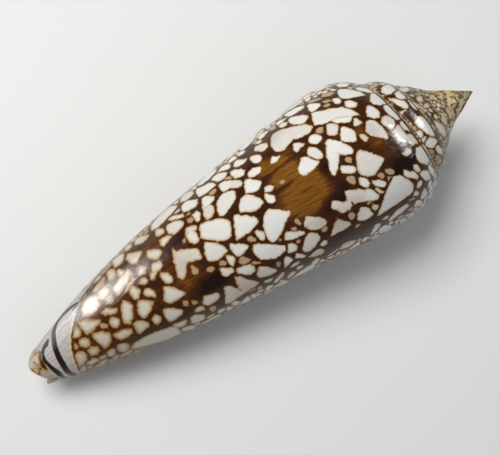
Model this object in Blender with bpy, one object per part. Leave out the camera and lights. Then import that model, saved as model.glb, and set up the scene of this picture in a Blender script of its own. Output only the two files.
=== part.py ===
"""Cone shell: a slender, high-spired seashell of one piece, lying on its aperture.

The shell coils about one axis, and every turn repeats the one before it, grown by WHORL_GROWTH:
a short visible band in the spire, and a long tapering body on the last turn. Turns are counted
from the crown of the back, in the direction of growth, and depth is measured down the axis from
the apex. A spiral chamber opens through the long slit under the outer lip.
"""
import math

import bmesh
import bpy
import numpy as np
from mathutils import Euler, Vector

MM = 0.001

# Driving dimensions, in millimetres and turns
LENGTH = 110.0
WHORL_GROWTH = 1.32
SEAM_DEPTH = 18.0
LIP_TURN = 0.39
SPIRE_TURNS = 6

# Depth and radius of the seam along the spire, and of the body whorl's back below its band
SPIRE_PROFILE = (
    (0.0, 0.0), (3.1, 2.0), (7.3, 4.15), (9.4, 5.6), (11.6, 8.1), (18.0, 12.5), (20.1, 13.9),
    (23.76, 16.1), (26.5, 17.95),
)
BODY_PROFILE = (
    (23.76, 16.1), (25.6, 16.55), (28.3, 16.7), (34.6, 16.4), (43.0, 15.7), (55.0, 14.3),
    (72.4, 12.25), (80.8, 10.8), (93.3, 8.1), (103.8, 5.1), (107.5, 4.0), (110.0, 3.4),
)

# Each band swells a little outside a straight cone, except at the worn apex
WHORL_BULGE = 0.09
WORN_DEPTH = 9.0

# The seams lean, and the spire bends sideways, by a little
SEAM_LEAN = 0.035
LEAN_END = 45.0
SPIRE_BEND = ((0.0, -0.6), (8.0, 0.1), (16.0, 0.35), (32.0, 0.0))

# The front of the body grows faster than the spire, which opens the canal
CANAL_GROWTH = 1.8
BAND_FIT = 0.12

# How far the lip lags, in turns, at the seam and at the front end, and over which depths
SWEEP_AT_SEAM = -0.035
SWEEP_AT_FRONT = -0.07
SWEEP_START = (16.2, 22.2)
SWEEP_SEAM_END = (18.0, 48.0)
SWEEP_FRONT = (70.0, 110.0)

# Front rim: its depth, then the height, place and width in turns of the features on it
END_DEPTH = 107.6
END_TRIM = 7.0
KNOB = (2.4, 0.16, 0.16)
HOOK = (1.7, -0.15, 0.045)
NOTCH = (-1.9, -0.07, 0.025)
RIM_ROUND = 0.6
CAP_DEPTH = 106.8

# Wall thickness: behind the lip, at the far end of the chamber, on the lip's edge, at the front
WALL = 2.0
BACK_WALL = 1.1
LIP_WALL = 0.85
FRONT_WALL = 0.75
LIP_WALL_TURNS = 0.08
FRONT_WALL_DEPTHS = (70.0, 105.0)

# The chamber behind the aperture
CHAMBER_TURNS = 0.85
CHAMBER_CLOSING = (0.68, 0.85)
CHAMBER_TOP = (0.45, 0.7, 1.0)
CHAMBER_GAP = 0.3
CHAMBER_EXIT = 112.0
CHAMBER_FLOOR = 103.0
CANAL_OPEN_TURNS = (0.35, 0.45)
MOUTH_TURNS = 0.02
MOUTH_RISE = 0.5
PARIETAL_CUT = 0.15

# How the shell lies on the facet under its centre of mass, in degrees
REST_ROLL = 6.73
REST_PITCH = -6.22

# Mesh density
COLUMNS = 60
BAND_ROWS = 3
BODY_ROWS = 22
ROW_CROWDING = 0.92
CHAMBER_ROWS = 20
CHAMBER_COLUMNS = 30

SHELL_COLOUR = (0.48, 0.36, 0.24, 1.0)
SHELL_ROUGHNESS = 0.25
SHARP_ANGLE = 40.0


def smooth_curve(points):
    """Returns a function through the points that never overshoots them."""
    xs, ys = np.array(points, dtype=float).T
    steps = np.diff(xs)
    slopes = np.diff(ys) / steps
    tangents = np.empty_like(ys)
    tangents[0] = slopes[0]
    tangents[-1] = slopes[-1]
    for i in range(1, len(xs) - 1):
        before, after = slopes[i - 1], slopes[i]
        tangents[i] = 2 * before * after / (before + after) if before * after > 0 else 0.0

    def value(x):
        i = int(np.clip(np.searchsorted(xs, x) - 1, 0, len(steps) - 1))
        t = (x - xs[i]) / steps[i]
        if t > 1:
            return ys[-1] + (x - xs[-1]) * tangents[-1]
        start = (1 + 2 * t) * (1 - t) ** 2 * ys[i] + t * (1 - t) ** 2 * steps[i] * tangents[i]
        end = t * t * (3 - 2 * t) * ys[i + 1] + t * t * (t - 1) * steps[i] * tangents[i + 1]
        return start + end

    return value


def ease(x, span):
    """Goes smoothly from 0 at the start of the span to 1 at its end."""
    start, end = span
    t = min(max((x - start) / (end - start), 0.0), 1.0)
    return t * t * (3 - 2 * t)


spire_radius = smooth_curve(SPIRE_PROFILE)
body_radius = smooth_curve(BODY_PROFILE)
spire_bend = smooth_curve(SPIRE_BEND)


def seam(turn):
    """Depth and radius of the seam where the whorl at this turn joins the one before."""
    depth = SEAM_DEPTH * WHORL_GROWTH ** turn
    return depth, spire_radius(depth)


def band_point(turn, v):
    """Depth and radius on the band between a seam (v = 0) and the next one (v = 1)."""
    d0, r0 = seam(turn)
    d1, r1 = seam(turn + 1)
    bulge = 4 * v * (1 - v) * WHORL_BULGE * ease(d0, (0.0, WORN_DEPTH))
    return d0 + v * (d1 - d0) - bulge * (r1 - r0), r0 + v * (r1 - r0) + bulge * (d1 - d0)


def whorl_radius(turn, depth):
    """Radius of a whorl's long side at a depth below its band."""
    start, start_radius = seam(turn + 1)
    w = min(max((depth - start) / (LENGTH - start), 0.0), 1.0)
    crown_start, crown_radius = BODY_PROFILE[0]
    growth = WHORL_GROWTH ** (turn * (1 + (CANAL_GROWTH - 1) * w))
    fit = start_radius / (crown_radius * WHORL_GROWTH ** turn)
    fit += (1 - fit) * ease(w, (0.0, BAND_FIT))
    return growth * fit * body_radius(crown_start + w * (LENGTH - crown_start))


def end_depth(turn):
    """Depth of the front rim, with its knob, its hook and the notch between them."""
    depth = END_DEPTH
    for height, centre, width in (KNOB, HOOK, NOTCH):
        depth += height * math.exp(-((turn - centre) / width) ** 2)
    return depth


def lip_sweep(depth):
    """How far, in turns, a growth line lags behind its middle at this depth."""
    at_seam = SWEEP_AT_SEAM * (1 - ease(depth, SWEEP_SEAM_END))
    at_front = SWEEP_AT_FRONT * ease(depth, SWEEP_FRONT)
    return (at_seam + at_front) * ease(depth, SWEEP_START)


def place(turn, depth, radius):
    """Point in the shell's own frame: apex near the origin, front end towards -X, back up."""
    angle = 2 * math.pi * (turn + lip_sweep(depth))
    lean = SEAM_LEAN * radius * math.sin(angle) * (1 - ease(depth, (SEAM_DEPTH, LEAN_END)))
    side = radius * math.sin(angle) + spire_bend(min(depth, SPIRE_BEND[-1][0]))
    return Vector((-(depth + lean), side, radius * math.cos(angle))) * MM


def body_column(turn):
    """Points from the lower edge of the band down to the rounded front rim."""
    start = seam(turn + 1)[0]
    shortening = LENGTH - end_depth(turn) + RIM_ROUND
    points = []
    for row in range(1, BODY_ROWS + 1):
        depth = start + (row / BODY_ROWS) ** ROW_CROWDING * (LENGTH - start)
        depth -= shortening * ease(depth, (LENGTH - END_TRIM, LENGTH))
        points.append((depth, whorl_radius(turn, depth)))
    depth, radius = points[-1]
    points.append((depth + 0.7 * RIM_ROUND, radius - 0.3 * RIM_ROUND))
    points.append((depth + RIM_ROUND, radius - RIM_ROUND))
    return [place(turn, d, r) for d, r in points]


def skin(bm, left, right):
    """Fills between two rows of vertices of the same length."""
    for i in range(len(left) - 1):
        bm.faces.new((left[i], left[i + 1], right[i + 1], right[i]))


def fan(bm, pivot, edge):
    """Fills from one vertex to each side of an edge line."""
    for near, far in zip(edge, edge[1:]):
        bm.faces.new((pivot, near, far))


def zip_rows(bm, left, right):
    """Fills between two rows of vertices that run down the shell from a shared first one."""
    i = j = 0
    while i < len(left) - 1 or j < len(right) - 1:
        on_left = j == len(right) - 1
        if not on_left and i < len(left) - 1:
            on_left = left[i + 1].co.x > right[j + 1].co.x
        corners = (left[i], left[i + 1], right[j]) if on_left else (left[i], right[j + 1], right[j])
        if on_left:
            i += 1
        else:
            j += 1
        if len(set(corners)) == 3:
            bm.faces.new(corners)


def spire_bands(bm, turns):
    """Adds the spiral band from the first turn of the spire to the lip."""
    seams = [bm.verts.new(place(turn, *seam(turn))) for turn in turns]
    last_edge = [bm.verts.new(place(turn, *seam(turn + 1))) for turn in turns[-COLUMNS:]]
    columns = []
    for turn, top, bottom in zip(turns, seams, seams[COLUMNS:] + last_edge):
        column = [top]
        for row in range(1, BAND_ROWS):
            column.append(bm.verts.new(place(turn, *band_point(turn, row / BAND_ROWS))))
        columns.append(column + [bottom])
    for left, right in zip(columns, columns[1:]):
        skin(bm, left, right)
    return columns


def close_apex(bm, bands):
    """Closes the first turn of the spire to the apex."""
    apex = bm.verts.new(place(0.0, 0.0, 0.0))
    first_turn = [column[0] for column in bands[:COLUMNS]]
    fan(bm, apex, first_turn)
    fan(bm, first_turn[-1], bands[0][::-1] + [apex])


def outer_form():
    """Closed spiral solid of the whole shell, with a step where the lip stands over the body."""
    bm = bmesh.new()
    turns = [LIP_TURN + i / COLUMNS for i in range(-SPIRE_TURNS * COLUMNS, 1)]
    bands = spire_bands(bm, turns)
    body = []
    for turn, band in zip(turns[-COLUMNS - 1:], bands[-COLUMNS - 1:]):
        body.append([band[-1]] + [bm.verts.new(point) for point in body_column(turn)])
    for left, right in zip(body, body[1:]):
        skin(bm, left, right)
    zip_rows(bm, bands[-1] + body[-1][1:], body[0])
    close_apex(bm, bands)
    rim = [column[-1] for column in body]
    fan(bm, bm.verts.new(place(0.0, CAP_DEPTH, 0.0)), rim + rim[:1])
    bmesh.ops.recalc_face_normals(bm, faces=bm.faces)
    return bm


def chamber_section(turn):
    """Closed outline of the chamber in a plane through the axis, down its outside and back up."""
    behind = LIP_TURN - turn
    inside = ease(behind, (0.0, LIP_WALL_TURNS))
    closing = ease(behind, CHAMBER_CLOSING)
    bottom = CHAMBER_EXIT + (CHAMBER_FLOOR - CHAMBER_EXIT) * ease(behind, CANAL_OPEN_TURNS)
    grown = WALL + (BACK_WALL - WALL) * ease(behind, (0.0, CHAMBER_TURNS))
    wall = LIP_WALL + (grown - LIP_WALL) * inside
    outer = []
    for v in CHAMBER_TOP:
        depth, radius = band_point(turn, v)
        outer.append((depth + wall * (0.6 - 0.36 * v), radius - wall * (0.8 + 0.2 * v)))
    start = outer[-1][0] + CHAMBER_GAP
    for row in range(1, CHAMBER_ROWS + 1):
        depth = start + (bottom - start) * row / CHAMBER_ROWS
        thickness = wall + (FRONT_WALL - wall) * ease(depth, FRONT_WALL_DEPTHS)
        outer.append((depth, whorl_radius(turn, depth) - thickness))
    cut = PARIETAL_CUT * (1 - inside) - MOUTH_RISE * ease(-behind, (0.0, MOUTH_TURNS))
    inner = []
    for depth, radius in outer:
        highest = radius - CHAMBER_GAP
        floor = min(whorl_radius(turn - 1, depth) - cut, highest)
        inner.append((depth, floor + closing * (highest - floor)))
    return [place(turn, d, r) for d, r in outer + inner[::-1]]


def chamber_form():
    """Closed spiral solid of the space that the animal lived in, reaching out of the aperture."""
    bm = bmesh.new()
    first = LIP_TURN - CHAMBER_TURNS
    span = CHAMBER_TURNS + MOUTH_TURNS
    rings = []
    for i in range(CHAMBER_COLUMNS + 1):
        section = chamber_section(first + span * i / CHAMBER_COLUMNS)
        rings.append([bm.verts.new(point) for point in section])
    for left, right in zip(rings, rings[1:]):
        skin(bm, left + left[:1], right + right[:1])
    half = len(rings[0]) // 2
    for ring in (rings[0], rings[-1]):
        skin(bm, ring[:half], ring[:half - 1:-1])
    bmesh.ops.recalc_face_normals(bm, faces=bm.faces)
    return bm


def make_object(name, bm, collection):
    """Makes an object from a bmesh and puts it in a collection."""
    mesh = bpy.data.meshes.new(name)
    bm.to_mesh(mesh)
    bm.free()
    obj = bpy.data.objects.new(name, mesh)
    collection.objects.link(obj)
    return obj


def shell_material():
    """Glossy light brown: the average of the cream tents and the brown net between them."""
    material = bpy.data.materials.new("shell")
    material.use_nodes = True
    shader = material.node_tree.nodes["Principled BSDF"]
    shader.inputs["Base Color"].default_value = SHELL_COLOUR
    shader.inputs["Roughness"].default_value = SHELL_ROUGHNESS
    shader.inputs["Metallic"].default_value = 0.0
    return material


def lay_down(obj):
    """Turns the shell onto its aperture, its lowest point on the ground and its box over the origin."""
    obj.rotation_euler = Euler((math.radians(REST_ROLL), math.radians(REST_PITCH), 0.0), "XYZ")
    bpy.context.view_layer.update()
    evaluated = obj.evaluated_get(bpy.context.evaluated_depsgraph_get())
    points = [obj.matrix_world @ vertex.co for vertex in evaluated.data.vertices]
    low = Vector([min(p[axis] for p in points) for axis in range(3)])
    high = Vector([max(p[axis] for p in points) for axis in range(3)])
    obj.location = (-(low.x + high.x) / 2, -(low.y + high.y) / 2, -low.z)


def build_shell():
    """Builds the shell and the chamber that is cut out of it."""
    parts = bpy.data.collections.new("cone_shell")
    cutters = bpy.data.collections.new("cutters")
    for collection in (parts, cutters):
        bpy.context.scene.collection.children.link(collection)
    shell = make_object("shell", outer_form(), parts)
    chamber = make_object("chamber", chamber_form(), cutters)
    chamber.hide_render = True
    chamber.display_type = "WIRE"
    chamber.parent = shell
    cut = shell.modifiers.new("chamber", "BOOLEAN")
    cut.operation = "DIFFERENCE"
    cut.solver = "EXACT"
    cut.object = chamber
    shell.data.materials.append(shell_material())
    shell.data.shade_smooth()
    shell.data.set_sharp_from_angle(angle=math.radians(SHARP_ANGLE))
    lay_down(shell)


for old in list(bpy.data.objects):
    bpy.data.objects.remove(old)
build_shell()
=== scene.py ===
"""Cone shell: the dressed model, lying on its aperture and seen from its back.

The surface follows growth: turns are counted from the crown of the back in the direction of
growth, and depth is measured down the axis from the apex. The pattern is a net of brown lines
round pale tents. Each tent is a rounded polygon, and its distance field is kept on the mesh.
"""

import itertools
import math

import bmesh
import bpy
import numpy as np
from mathutils import Euler, Matrix, Vector
from mathutils.bvhtree import BVHTree
from mathutils.kdtree import KDTree


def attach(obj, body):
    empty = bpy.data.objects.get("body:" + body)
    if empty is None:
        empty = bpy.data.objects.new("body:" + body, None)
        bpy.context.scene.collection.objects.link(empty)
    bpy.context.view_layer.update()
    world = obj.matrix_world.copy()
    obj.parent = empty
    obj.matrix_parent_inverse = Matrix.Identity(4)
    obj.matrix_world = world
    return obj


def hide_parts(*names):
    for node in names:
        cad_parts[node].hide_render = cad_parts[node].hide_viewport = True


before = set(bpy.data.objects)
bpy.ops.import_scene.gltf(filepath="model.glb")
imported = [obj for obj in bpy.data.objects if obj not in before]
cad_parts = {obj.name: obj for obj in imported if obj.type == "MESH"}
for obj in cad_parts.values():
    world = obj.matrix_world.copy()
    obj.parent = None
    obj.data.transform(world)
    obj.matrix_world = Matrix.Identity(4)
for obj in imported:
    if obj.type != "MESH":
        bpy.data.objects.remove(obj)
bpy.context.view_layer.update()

MM = 0.001

# Driving dimensions, in millimetres and turns
LENGTH = 110.0
WHORL_GROWTH = 1.32
SEAM_DEPTH = 18.0
LIP_TURN = 0.39
SPIRE_TURNS = 6

# Depth and radius of the seam along the spire, and of the body whorl's back below its band
SPIRE_PROFILE = (
    (0.0, 0.0), (3.1, 2.0), (7.3, 4.15), (9.4, 5.6), (11.6, 8.1), (18.0, 12.5), (20.1, 13.9),
    (23.76, 16.1), (26.5, 17.95),
)
BODY_PROFILE = (
    (23.76, 16.1), (25.6, 16.55), (28.3, 16.7), (34.6, 16.4), (43.0, 15.7), (55.0, 14.3),
    (72.4, 12.25), (80.8, 10.8), (93.3, 8.1), (103.8, 5.1), (107.5, 4.0), (110.0, 3.4),
)
WHORL_BULGE = 0.09
EARLY_BULGE = 0.15
EARLY_TURNS = (-0.72, -0.5)
OLD_BULGE = 0.03
OLD_TURNS = (-1.7, -1.1)
SEAM_GROOVE = 0.25
GROOVE_DEPTHS = (9.0, 13.0)
GROOVE_END = (0.3, 0.5)
RIDGE_HEIGHT = 0.16
RIDGE_BELOW_SEAM = 0.55
RIDGE_HALF_WIDTH = 0.3
RIDGE_DEPTHS = (7.0, 12.0)
BULGE_DEPTH = 9.0
SEAM_LEAN = 0.035
LEAN_END = 45.0
SPIRE_BEND = ((0.0, -0.6), (8.0, 0.1), (16.0, 0.35), (32.0, 0.0))
CANAL_GROWTH = 1.8
BAND_FIT = 0.12
SWEEP_AT_SEAM = -0.035
SWEEP_AT_FRONT = -0.07
SWEEP_START = (16.2, 22.2)
SWEEP_SEAM_END = (18.0, 48.0)
SWEEP_FRONT = (70.0, 110.0)

# Front rim: its depth, then the height, place and width in turns of the features on it
END_DEPTH = 107.6
END_TRIM = 7.0
KNOB = (2.4, 0.16, 0.16)
HOOK = (1.7, -0.15, 0.045)
NOTCH = (-1.9, -0.07, 0.025)
RIM_ROUND = 0.6
RIM_STEPS = (0.35, 0.7, 0.9, 1.0)
CAP_DEPTH = 106.8

# Wall thickness and the chamber behind the aperture. The chamber's top stands off the band by a
# number of walls, downwards and inwards: the first is at the seam, the second the change from there
WALL = 2.0
BACK_WALL = 1.1
LIP_WALL = 0.85
FRONT_WALL = 0.75
LIP_WALL_TURNS = 0.08
FRONT_WALL_DEPTHS = (70.0, 105.0)
CHAMBER_TURNS = 0.85
CHAMBER_CLOSING = (0.68, 0.85)
CHAMBER_TOP = (0.45, 0.57, 0.7, 0.85, 1.0)
CHAMBER_GAP = 0.3
TOP_DROP = (0.6, -0.36)
TOP_INSET = (0.8, 0.2)
CHAMBER_EXIT = 112.0
CHAMBER_FLOOR = 103.0
CANAL_OPEN_TURNS = (0.35, 0.45)
MOUTH_TURNS = 0.02
MOUTH_RISE = 0.5
PARIETAL_CUT = 0.15

# How the shell lies, in degrees
REST_ROLL = 6.73
REST_PITCH = -6.22

# Mesh density: the columns of one turn, closer together on the back, and the rows
COLUMN_RUNS = ((-0.61, -0.28, 50), (-0.28, 0.28, 213), (0.28, 0.39, 17))
COLUMNS = 280
SPIRE_ROWS = 5
BAND_ROWS = 17
BAND_CROWDING = 1.35
BAND_TURNS = 2.0
BODY_ROWS = 240
ROW_CROWDING = 0.97
CHAMBER_ROWS = 60
CHAMBER_COLUMNS = 90

# Camera: in the photograph's pixels, and in millimetres and degrees about the shell's axis
PHOTO_WIDTH = 500
PHOTO_HEIGHT = 455
FOCAL_PIXELS = 780.0
SENSOR_WIDTH = 36.0
CAMERA_AIM = (-55.434, 1.107)
CAMERA_DISTANCE = 165.461
CAMERA_TURN = 33.241
CLIP_METRES = (0.01, 10.0)

# Floor, lamps and world. A lamp has its place and size in millimetres about the shell, its power in
# watts and its colour; a glint has its point of the photograph, distance, size and power
FLOOR_HALF_METRES = 1.5
FLOOR_COLOUR = (0.72, 0.72, 0.71, 1.0)
FLOOR_ROUGHNESS = 0.8
LAMP_AIM = (-50, 0, 0)
KEY_LAMP = ((-70, 220, 330), (260, 200), 1.62, (1.0, 0.99, 0.97))
FILL_LAMP = ((60, -260, 300), (300, 300), 0.2, (0.96, 0.98, 1.0))
GLINT_COLOUR = (1.0, 1.0, 1.0)
FRONT_GLINT = (-23, 430, 260, (64, 130), 0.9)
SHOULDER_GLINT = (-1, 87, 260, (60, 60), 0.75)
WORLD_COLOUR = (0.9, 0.94, 1.0, 1.0)
WORLD_STRENGTH = 0.22

# Upright frame of the photograph: its unit along the shell and the apex's place in it, in pixels
UP_DIRECTION = (0.8461, -0.5330)
APEX_PIXELS = 351.7
AXIS_PIXELS = 328.5
PIXELS_PER_MM = 4.764

# Pattern fields, in millimetres
BIN = 1.5
FAR = 1.2
CHANNELS = 6
JOINED_DEPTH = 0.0
TENT_GROWTH = 0.11
LINE_HALF_WIDTH = 0.09
CORNER_ROUND = 0.09
CORNER_ALLOWANCE = 0.05
TENT_FACING = 0.25
TENT_CURVE = 0.35
TENT_SLACK = 1.0
TAN_TONE = 1.0
WHITE_TONES = (0.0, 0.0, 0.0, 0.05, 0.1, 0.22)
PATTERN_SEED = 11
SEEN_TILT = 0.4

# Search for the shell past its outline: step and reach in pixels, and its growth round the side
OUTLINE_STEP = 0.5
OUTLINE_REACH = 20
OUTLINE_STRETCH = 2.5

# Tents of the hidden side, in millimetres: half widths with their shares, smaller towards both
# ends, where they may lie, and how close they come to each other and to the seen ones
TENT_SIZES = (0.65, 1.05, 1.55, 2.2, 3.0)
TENT_SIZE_SHARES = (0.18, 0.24, 0.28, 0.2, 0.1)
SPIRE_SHRINK = 0.4
SPIRE_SHRINK_DEPTHS = (12.0, 26.0)
FRONT_SHRINK = 0.75
FRONT_SHRINK_HEIGHTS = (-100.0, -70.0)
UNSEEN_DEPTHS = (5.0, 103.0)
SPIRE_FILL_DEPTH = 13.0
SPIRE_ROOM = 0.2
SIDE_ROOM = 0.45
ROOM_PER_RADIUS = 0.75
SITE_BIN = 6.0
SITE_SPACING = 0.86
GAPS = (0.10, 0.16, 0.3)
GAP_SHARES = (0.45, 0.35, 0.2)
OTHERS_REACH = 2.2
TENT_REACH = 1.6
SEEN_REACH = 1.9
SEEN_SLACK = 0.8
SEEN_EDGE = 0.16
SEEN_GAP = 0.05
SEEN_FACING = 0.2
SECTOR = math.pi / 6
HIDDEN_TAN_SHARE = 0.12

# Random spread of a hidden tent's three own sides: in radians, and as shares of its radius
LEAN_SPREAD = 0.6
CORNER_SPREAD = 0.18
SQUEEZE = (0.55, 0.95)
SIDE_SPREAD = (0.85, 1.25)

# Lengths too short to give a direction, and how near upright a normal changes its plane's axes
TINY = 1e-9
NO_LENGTH = 1e-6
HAIR = 1e-3
KNOWN_DEPTH = 1e-3
NEARLY_UPRIGHT = 0.9
SHARP_DEGREES = 40

# Thickness of the soft spots in millimetres, and how steeply they end
SPOT_THICKNESS = 4.0
SPOT_EDGE = 1.5

# Where the apex is worn and the tents are creamy, by depth, and how strongly
WEAR_DEPTHS = (4.0, 14.0)
CREAMY_DEPTHS = (45.0, 95.0)
CREAMY_NET_ONLY = 0.8
CREAMY_SPIRE_DEPTHS = (8.0, 17.0)
CREAMY_SPIRE = 0.6
KNOB_DEPTHS = (105.2, 107.0)
CREAMY_KNOB = 0.8
FRONT_EDGE = (-0.3, 0.3)
LAST_TURN = 1.001

# Depth in millimetres, by degrees round from the crown, of the thin line that ends the net
FRONT_LINE = (
    (-220.0, 103.6), (-150.0, 102.9), (-100.0, 102.4), (-54.5, 101.6), (-31.0, 100.9), (-4.0, 99.8),
    (18.5, 98.3), (31.0, 96.9), (44.0, 94.9), (56.0, 92.5), (80.0, 86.5), (110.0, 78.0), (140.0, 72.0),
)

# Fine lines at each seam, in millimetres below it: middle and half the width
SEAM_DARK_LINES = ((0.05, 0.15), (1.0, 0.22))
SEAM_PALE_LINE = (0.5, 0.24)
SEAM_LINE_START = 9.0

# Dark bands on the hidden right side: depth and half width in millimetres, and the angles between
# which they fade out
HIDDEN_BANDS = ((103.1, 0.6, -62.0, -160.0), (105.2, 0.45, -42.0, -110.0))

# Strokes on the back: pixels across the axis and along it from the apex, and half the width
DARK_STROKES = (
    (-31, 448, 1.5, -30.5, 456, 2.8, -29, 466, 3.5, -25.5, 475, 3.7, -21, 481.5, 3.5, -14, 486.5, 3.3,
     -6, 490, 3.2, 2, 491.8, 3.3, 12, 492.6, 3.4, 22, 492.4, 3.2, 28, 488.5, 2.8),
    (-14.5, 493.5, 2.6, -12.5, 496, 3.5, -11.5, 499, 3.1, -9.5, 502, 2.6, -6, 504.3, 2.2, 0, 506, 2.0,
     6, 505, 2.1, 12, 503.5, 2.7, 17, 501.5, 3.1, 21.7, 500.5, 2.7),
    (-45.5, 402, 0.8, -43, 415, 1.0, -39, 426, 1.6, -36, 434, 1.5, -32, 443, 0.9, -29, 450, 1.6, -27.5, 456, 0.8),
    (-36.5, 424, 0.7, -33, 434, 0.9, -29.5, 442, 0.7, -26, 450, 0.6, -23, 455, 0.5),
    (30, 161.6, 1.0, 32.6, 161.9, 1.2),
    (34.4, 169.6, 0.9, 35.4, 169.9, 0.8),
    (27.5, 177, 0.4, 27.7, 193, 0.4),
    (27, 211, 0.5, 28, 220, 0.7),
    (28.6, 237.4, 0.6, 30.5, 241, 0.9, 32, 240.6, 0.4, 34.5, 241.5, 0.7, 36, 240.8, 0.5),
    (33, 223, 0.8, 32.2, 229, 0.9, 30.5, 235, 0.8),
    (38.5, 152, 0.6, 37, 158, 0.8, 38.5, 162, 0.6),
    (31.5, 294, 0.7, 34, 292.5, 0.8, 37.5, 290, 0.8, 40, 288, 0.6),
)
BROWN_STROKES = (
    (-9, 506, 2.0, -4, 509, 2.8, 2, 510, 3.1, 8, 509.2, 2.4),
    (-14, 512.3, 0.8, -10.3, 509.2, 1.0, -9, 513.3, 0.9, -7.5, 517.6, 0.7),
    (-7, 517, 0.6, -3.2, 516, 0.9, 0.6, 513.4, 1.1, 4.9, 514, 1.2, 8.5, 517.6, 0.9),
    (1.5, 521.8, 1.2, 5, 521, 1.4, 9.4, 519, 1.3),
    (-25, 446, 0.5, -20, 455, 0.8, -13, 462, 0.7),
)
PALE_STROKES = (
    (-33.5, 455, 0.8, -32.5, 464, 1.0, -30.5, 472, 1.4, -26.5, 480, 1.8, -21, 486.5, 2.0, -18, 490, 1.2),
    (-18, 497, 0.9, -15.5, 502, 1.6, -13.5, 508, 1.2),
)

# Noise: scale, detail and roughness, per metre of the surface or along and across the growth lines
WOBBLE_NOISE = (1100.0, 2.0, 0.55)
FINE_NOISE = (3200.0, 1.0, 0.55)
MOTTLE_NOISE = (420.0, 3.0, 0.6)
WORN_NOISE = (800.0, 4.0, 0.65)
GRAIN_NOISE = (1900.0, 3.0, 0.6)
STREAK_NOISE = (1.8, 3.0, 0.6)
FINE_STREAK_NOISE = (4.5, 2.0, 0.6)
STREAKS_PER_TURN = 100.0
STREAKS_PER_MM = 0.05

# How far the noise moves a tent's own edge, a line between two tents, and both, in millimetres
EDGE_WOBBLE = 0.75
LINE_WOBBLE = 0.2
FINE_WOBBLE = 0.14

# Gloss and relief
SPECULAR = 0.32
GLOSS_ROUGHNESS = 0.09
WORN_ROUGHNESS = 0.45
MOTTLE_ROUGHNESS = 0.08
BUMP_STRENGTH = 0.35
BUMP_METRES = 0.0002

# Colours: red, green and blue from 0 to 255
NET_BROWN = (50, 22, 4)
WARM_BROWN = (84, 44, 8)
GOLD_BROWN = (124, 78, 18)
STREAK_BROWN = (64, 34, 6)
BLACK_BROWN = (24, 9, 4)
HALO_BROWN = (124, 76, 18)
WHITE = (217, 216, 213)
DULL_WHITE = (194, 186, 170)
CREAM = (192, 168, 126)
DULL_CREAM = (156, 124, 78)
TAN = (160, 130, 94)
PALE_STREAK = (150, 118, 84)
FRONT_GREY = (122, 108, 102)
STROKE_EDGE = (74, 44, 26)
STROKE_MIDDLE = (32, 18, 15)
FADED_BROWN = (82, 54, 24)
FADED_WHITE = (206, 190, 150)
WORN_BEIGE = (208, 184, 134)
WORN_BROWN = (84, 58, 26)
PORCELAIN = (236, 230, 218)

# Spots where the brown turns golden (above 0) or nearly black (below 0), in the same pixels:
# across, along, half the width, half the length, and strength
BROWN_SPOTS = (
    (-2, 197, 19, 26, 1.5), (8, 205, 10, 16, 0.5), (-42, 205, 9, 20, 0.7), (-31, 204, 12, 17, 1.1),
    (-16, 186, 8, 12, 0.6), (-12, 106, 8, 9, 0.4), (0, 108, 12, 8, 0.25), (11, 340, 12, 17, 0.6),
    (-10, 350, 10, 6, 0.4), (26, 97, 9, 16, -1.3), (22, 176, 9, 14, -0.9), (24, 320, 9, 22, -1.1),
    (-30, 332, 6, 10, -0.8), (56, 178, 5, 30, -0.3), (-12, 165, 14, 6, -0.7), (-19, 207, 2.4, 18, -1.0),
    (-37.5, 207, 2.6, 20, -1.1), (14, 160, 8, 8, -0.6), (-46, 218, 10, 8, 0.6), (-25, 117, 8, 6, 0.5),
    (0, 430, 40, 60, 0.25), (-40, 350, 10, 20, 0.5), (-66, 212, 6, 20, 0.3), (0, 250, 45, 30, -0.3),
)

# Spots where the tents are browner, in the same way
# On the right side, away from the key lamp, these spots are partly painted shade.
TONE_AND_SHADE_SPOTS = (
    (36, 178, 15, 28, 0.45), (60, 190, 8, 32, 0.4), (42, 300, 13, 24, 0.4), (-46, 367, 10, 22, 0.35),
    (-10, 335, 11, 15, 0.25), (-66, 203, 9, 26, 0.3), (-20, 108, 11, 10, 0.35), (28, 205, 10, 12, 0.35),
    (56, 240, 10, 70, 0.4), (25, 440, 16, 30, 0.15), (-2, 92, 8, 8, 0.15),
)

# Spots where the net's lines are broader, by the strength in millimetres on either side
# On the right side, the broader lines are partly painted shade that darkens that side.
BROAD_LINES_AND_SHADE = (
    (54, 200, 22, 100, 0.18), (42, 310, 16, 70, 0.12), (0, 430, 40, 60, 0.06), (-10, 100, 40, 30, 0.05),
    (-45, 340, 20, 60, 0.05), (0, 66, 70, 24, 0.05),
)
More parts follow.
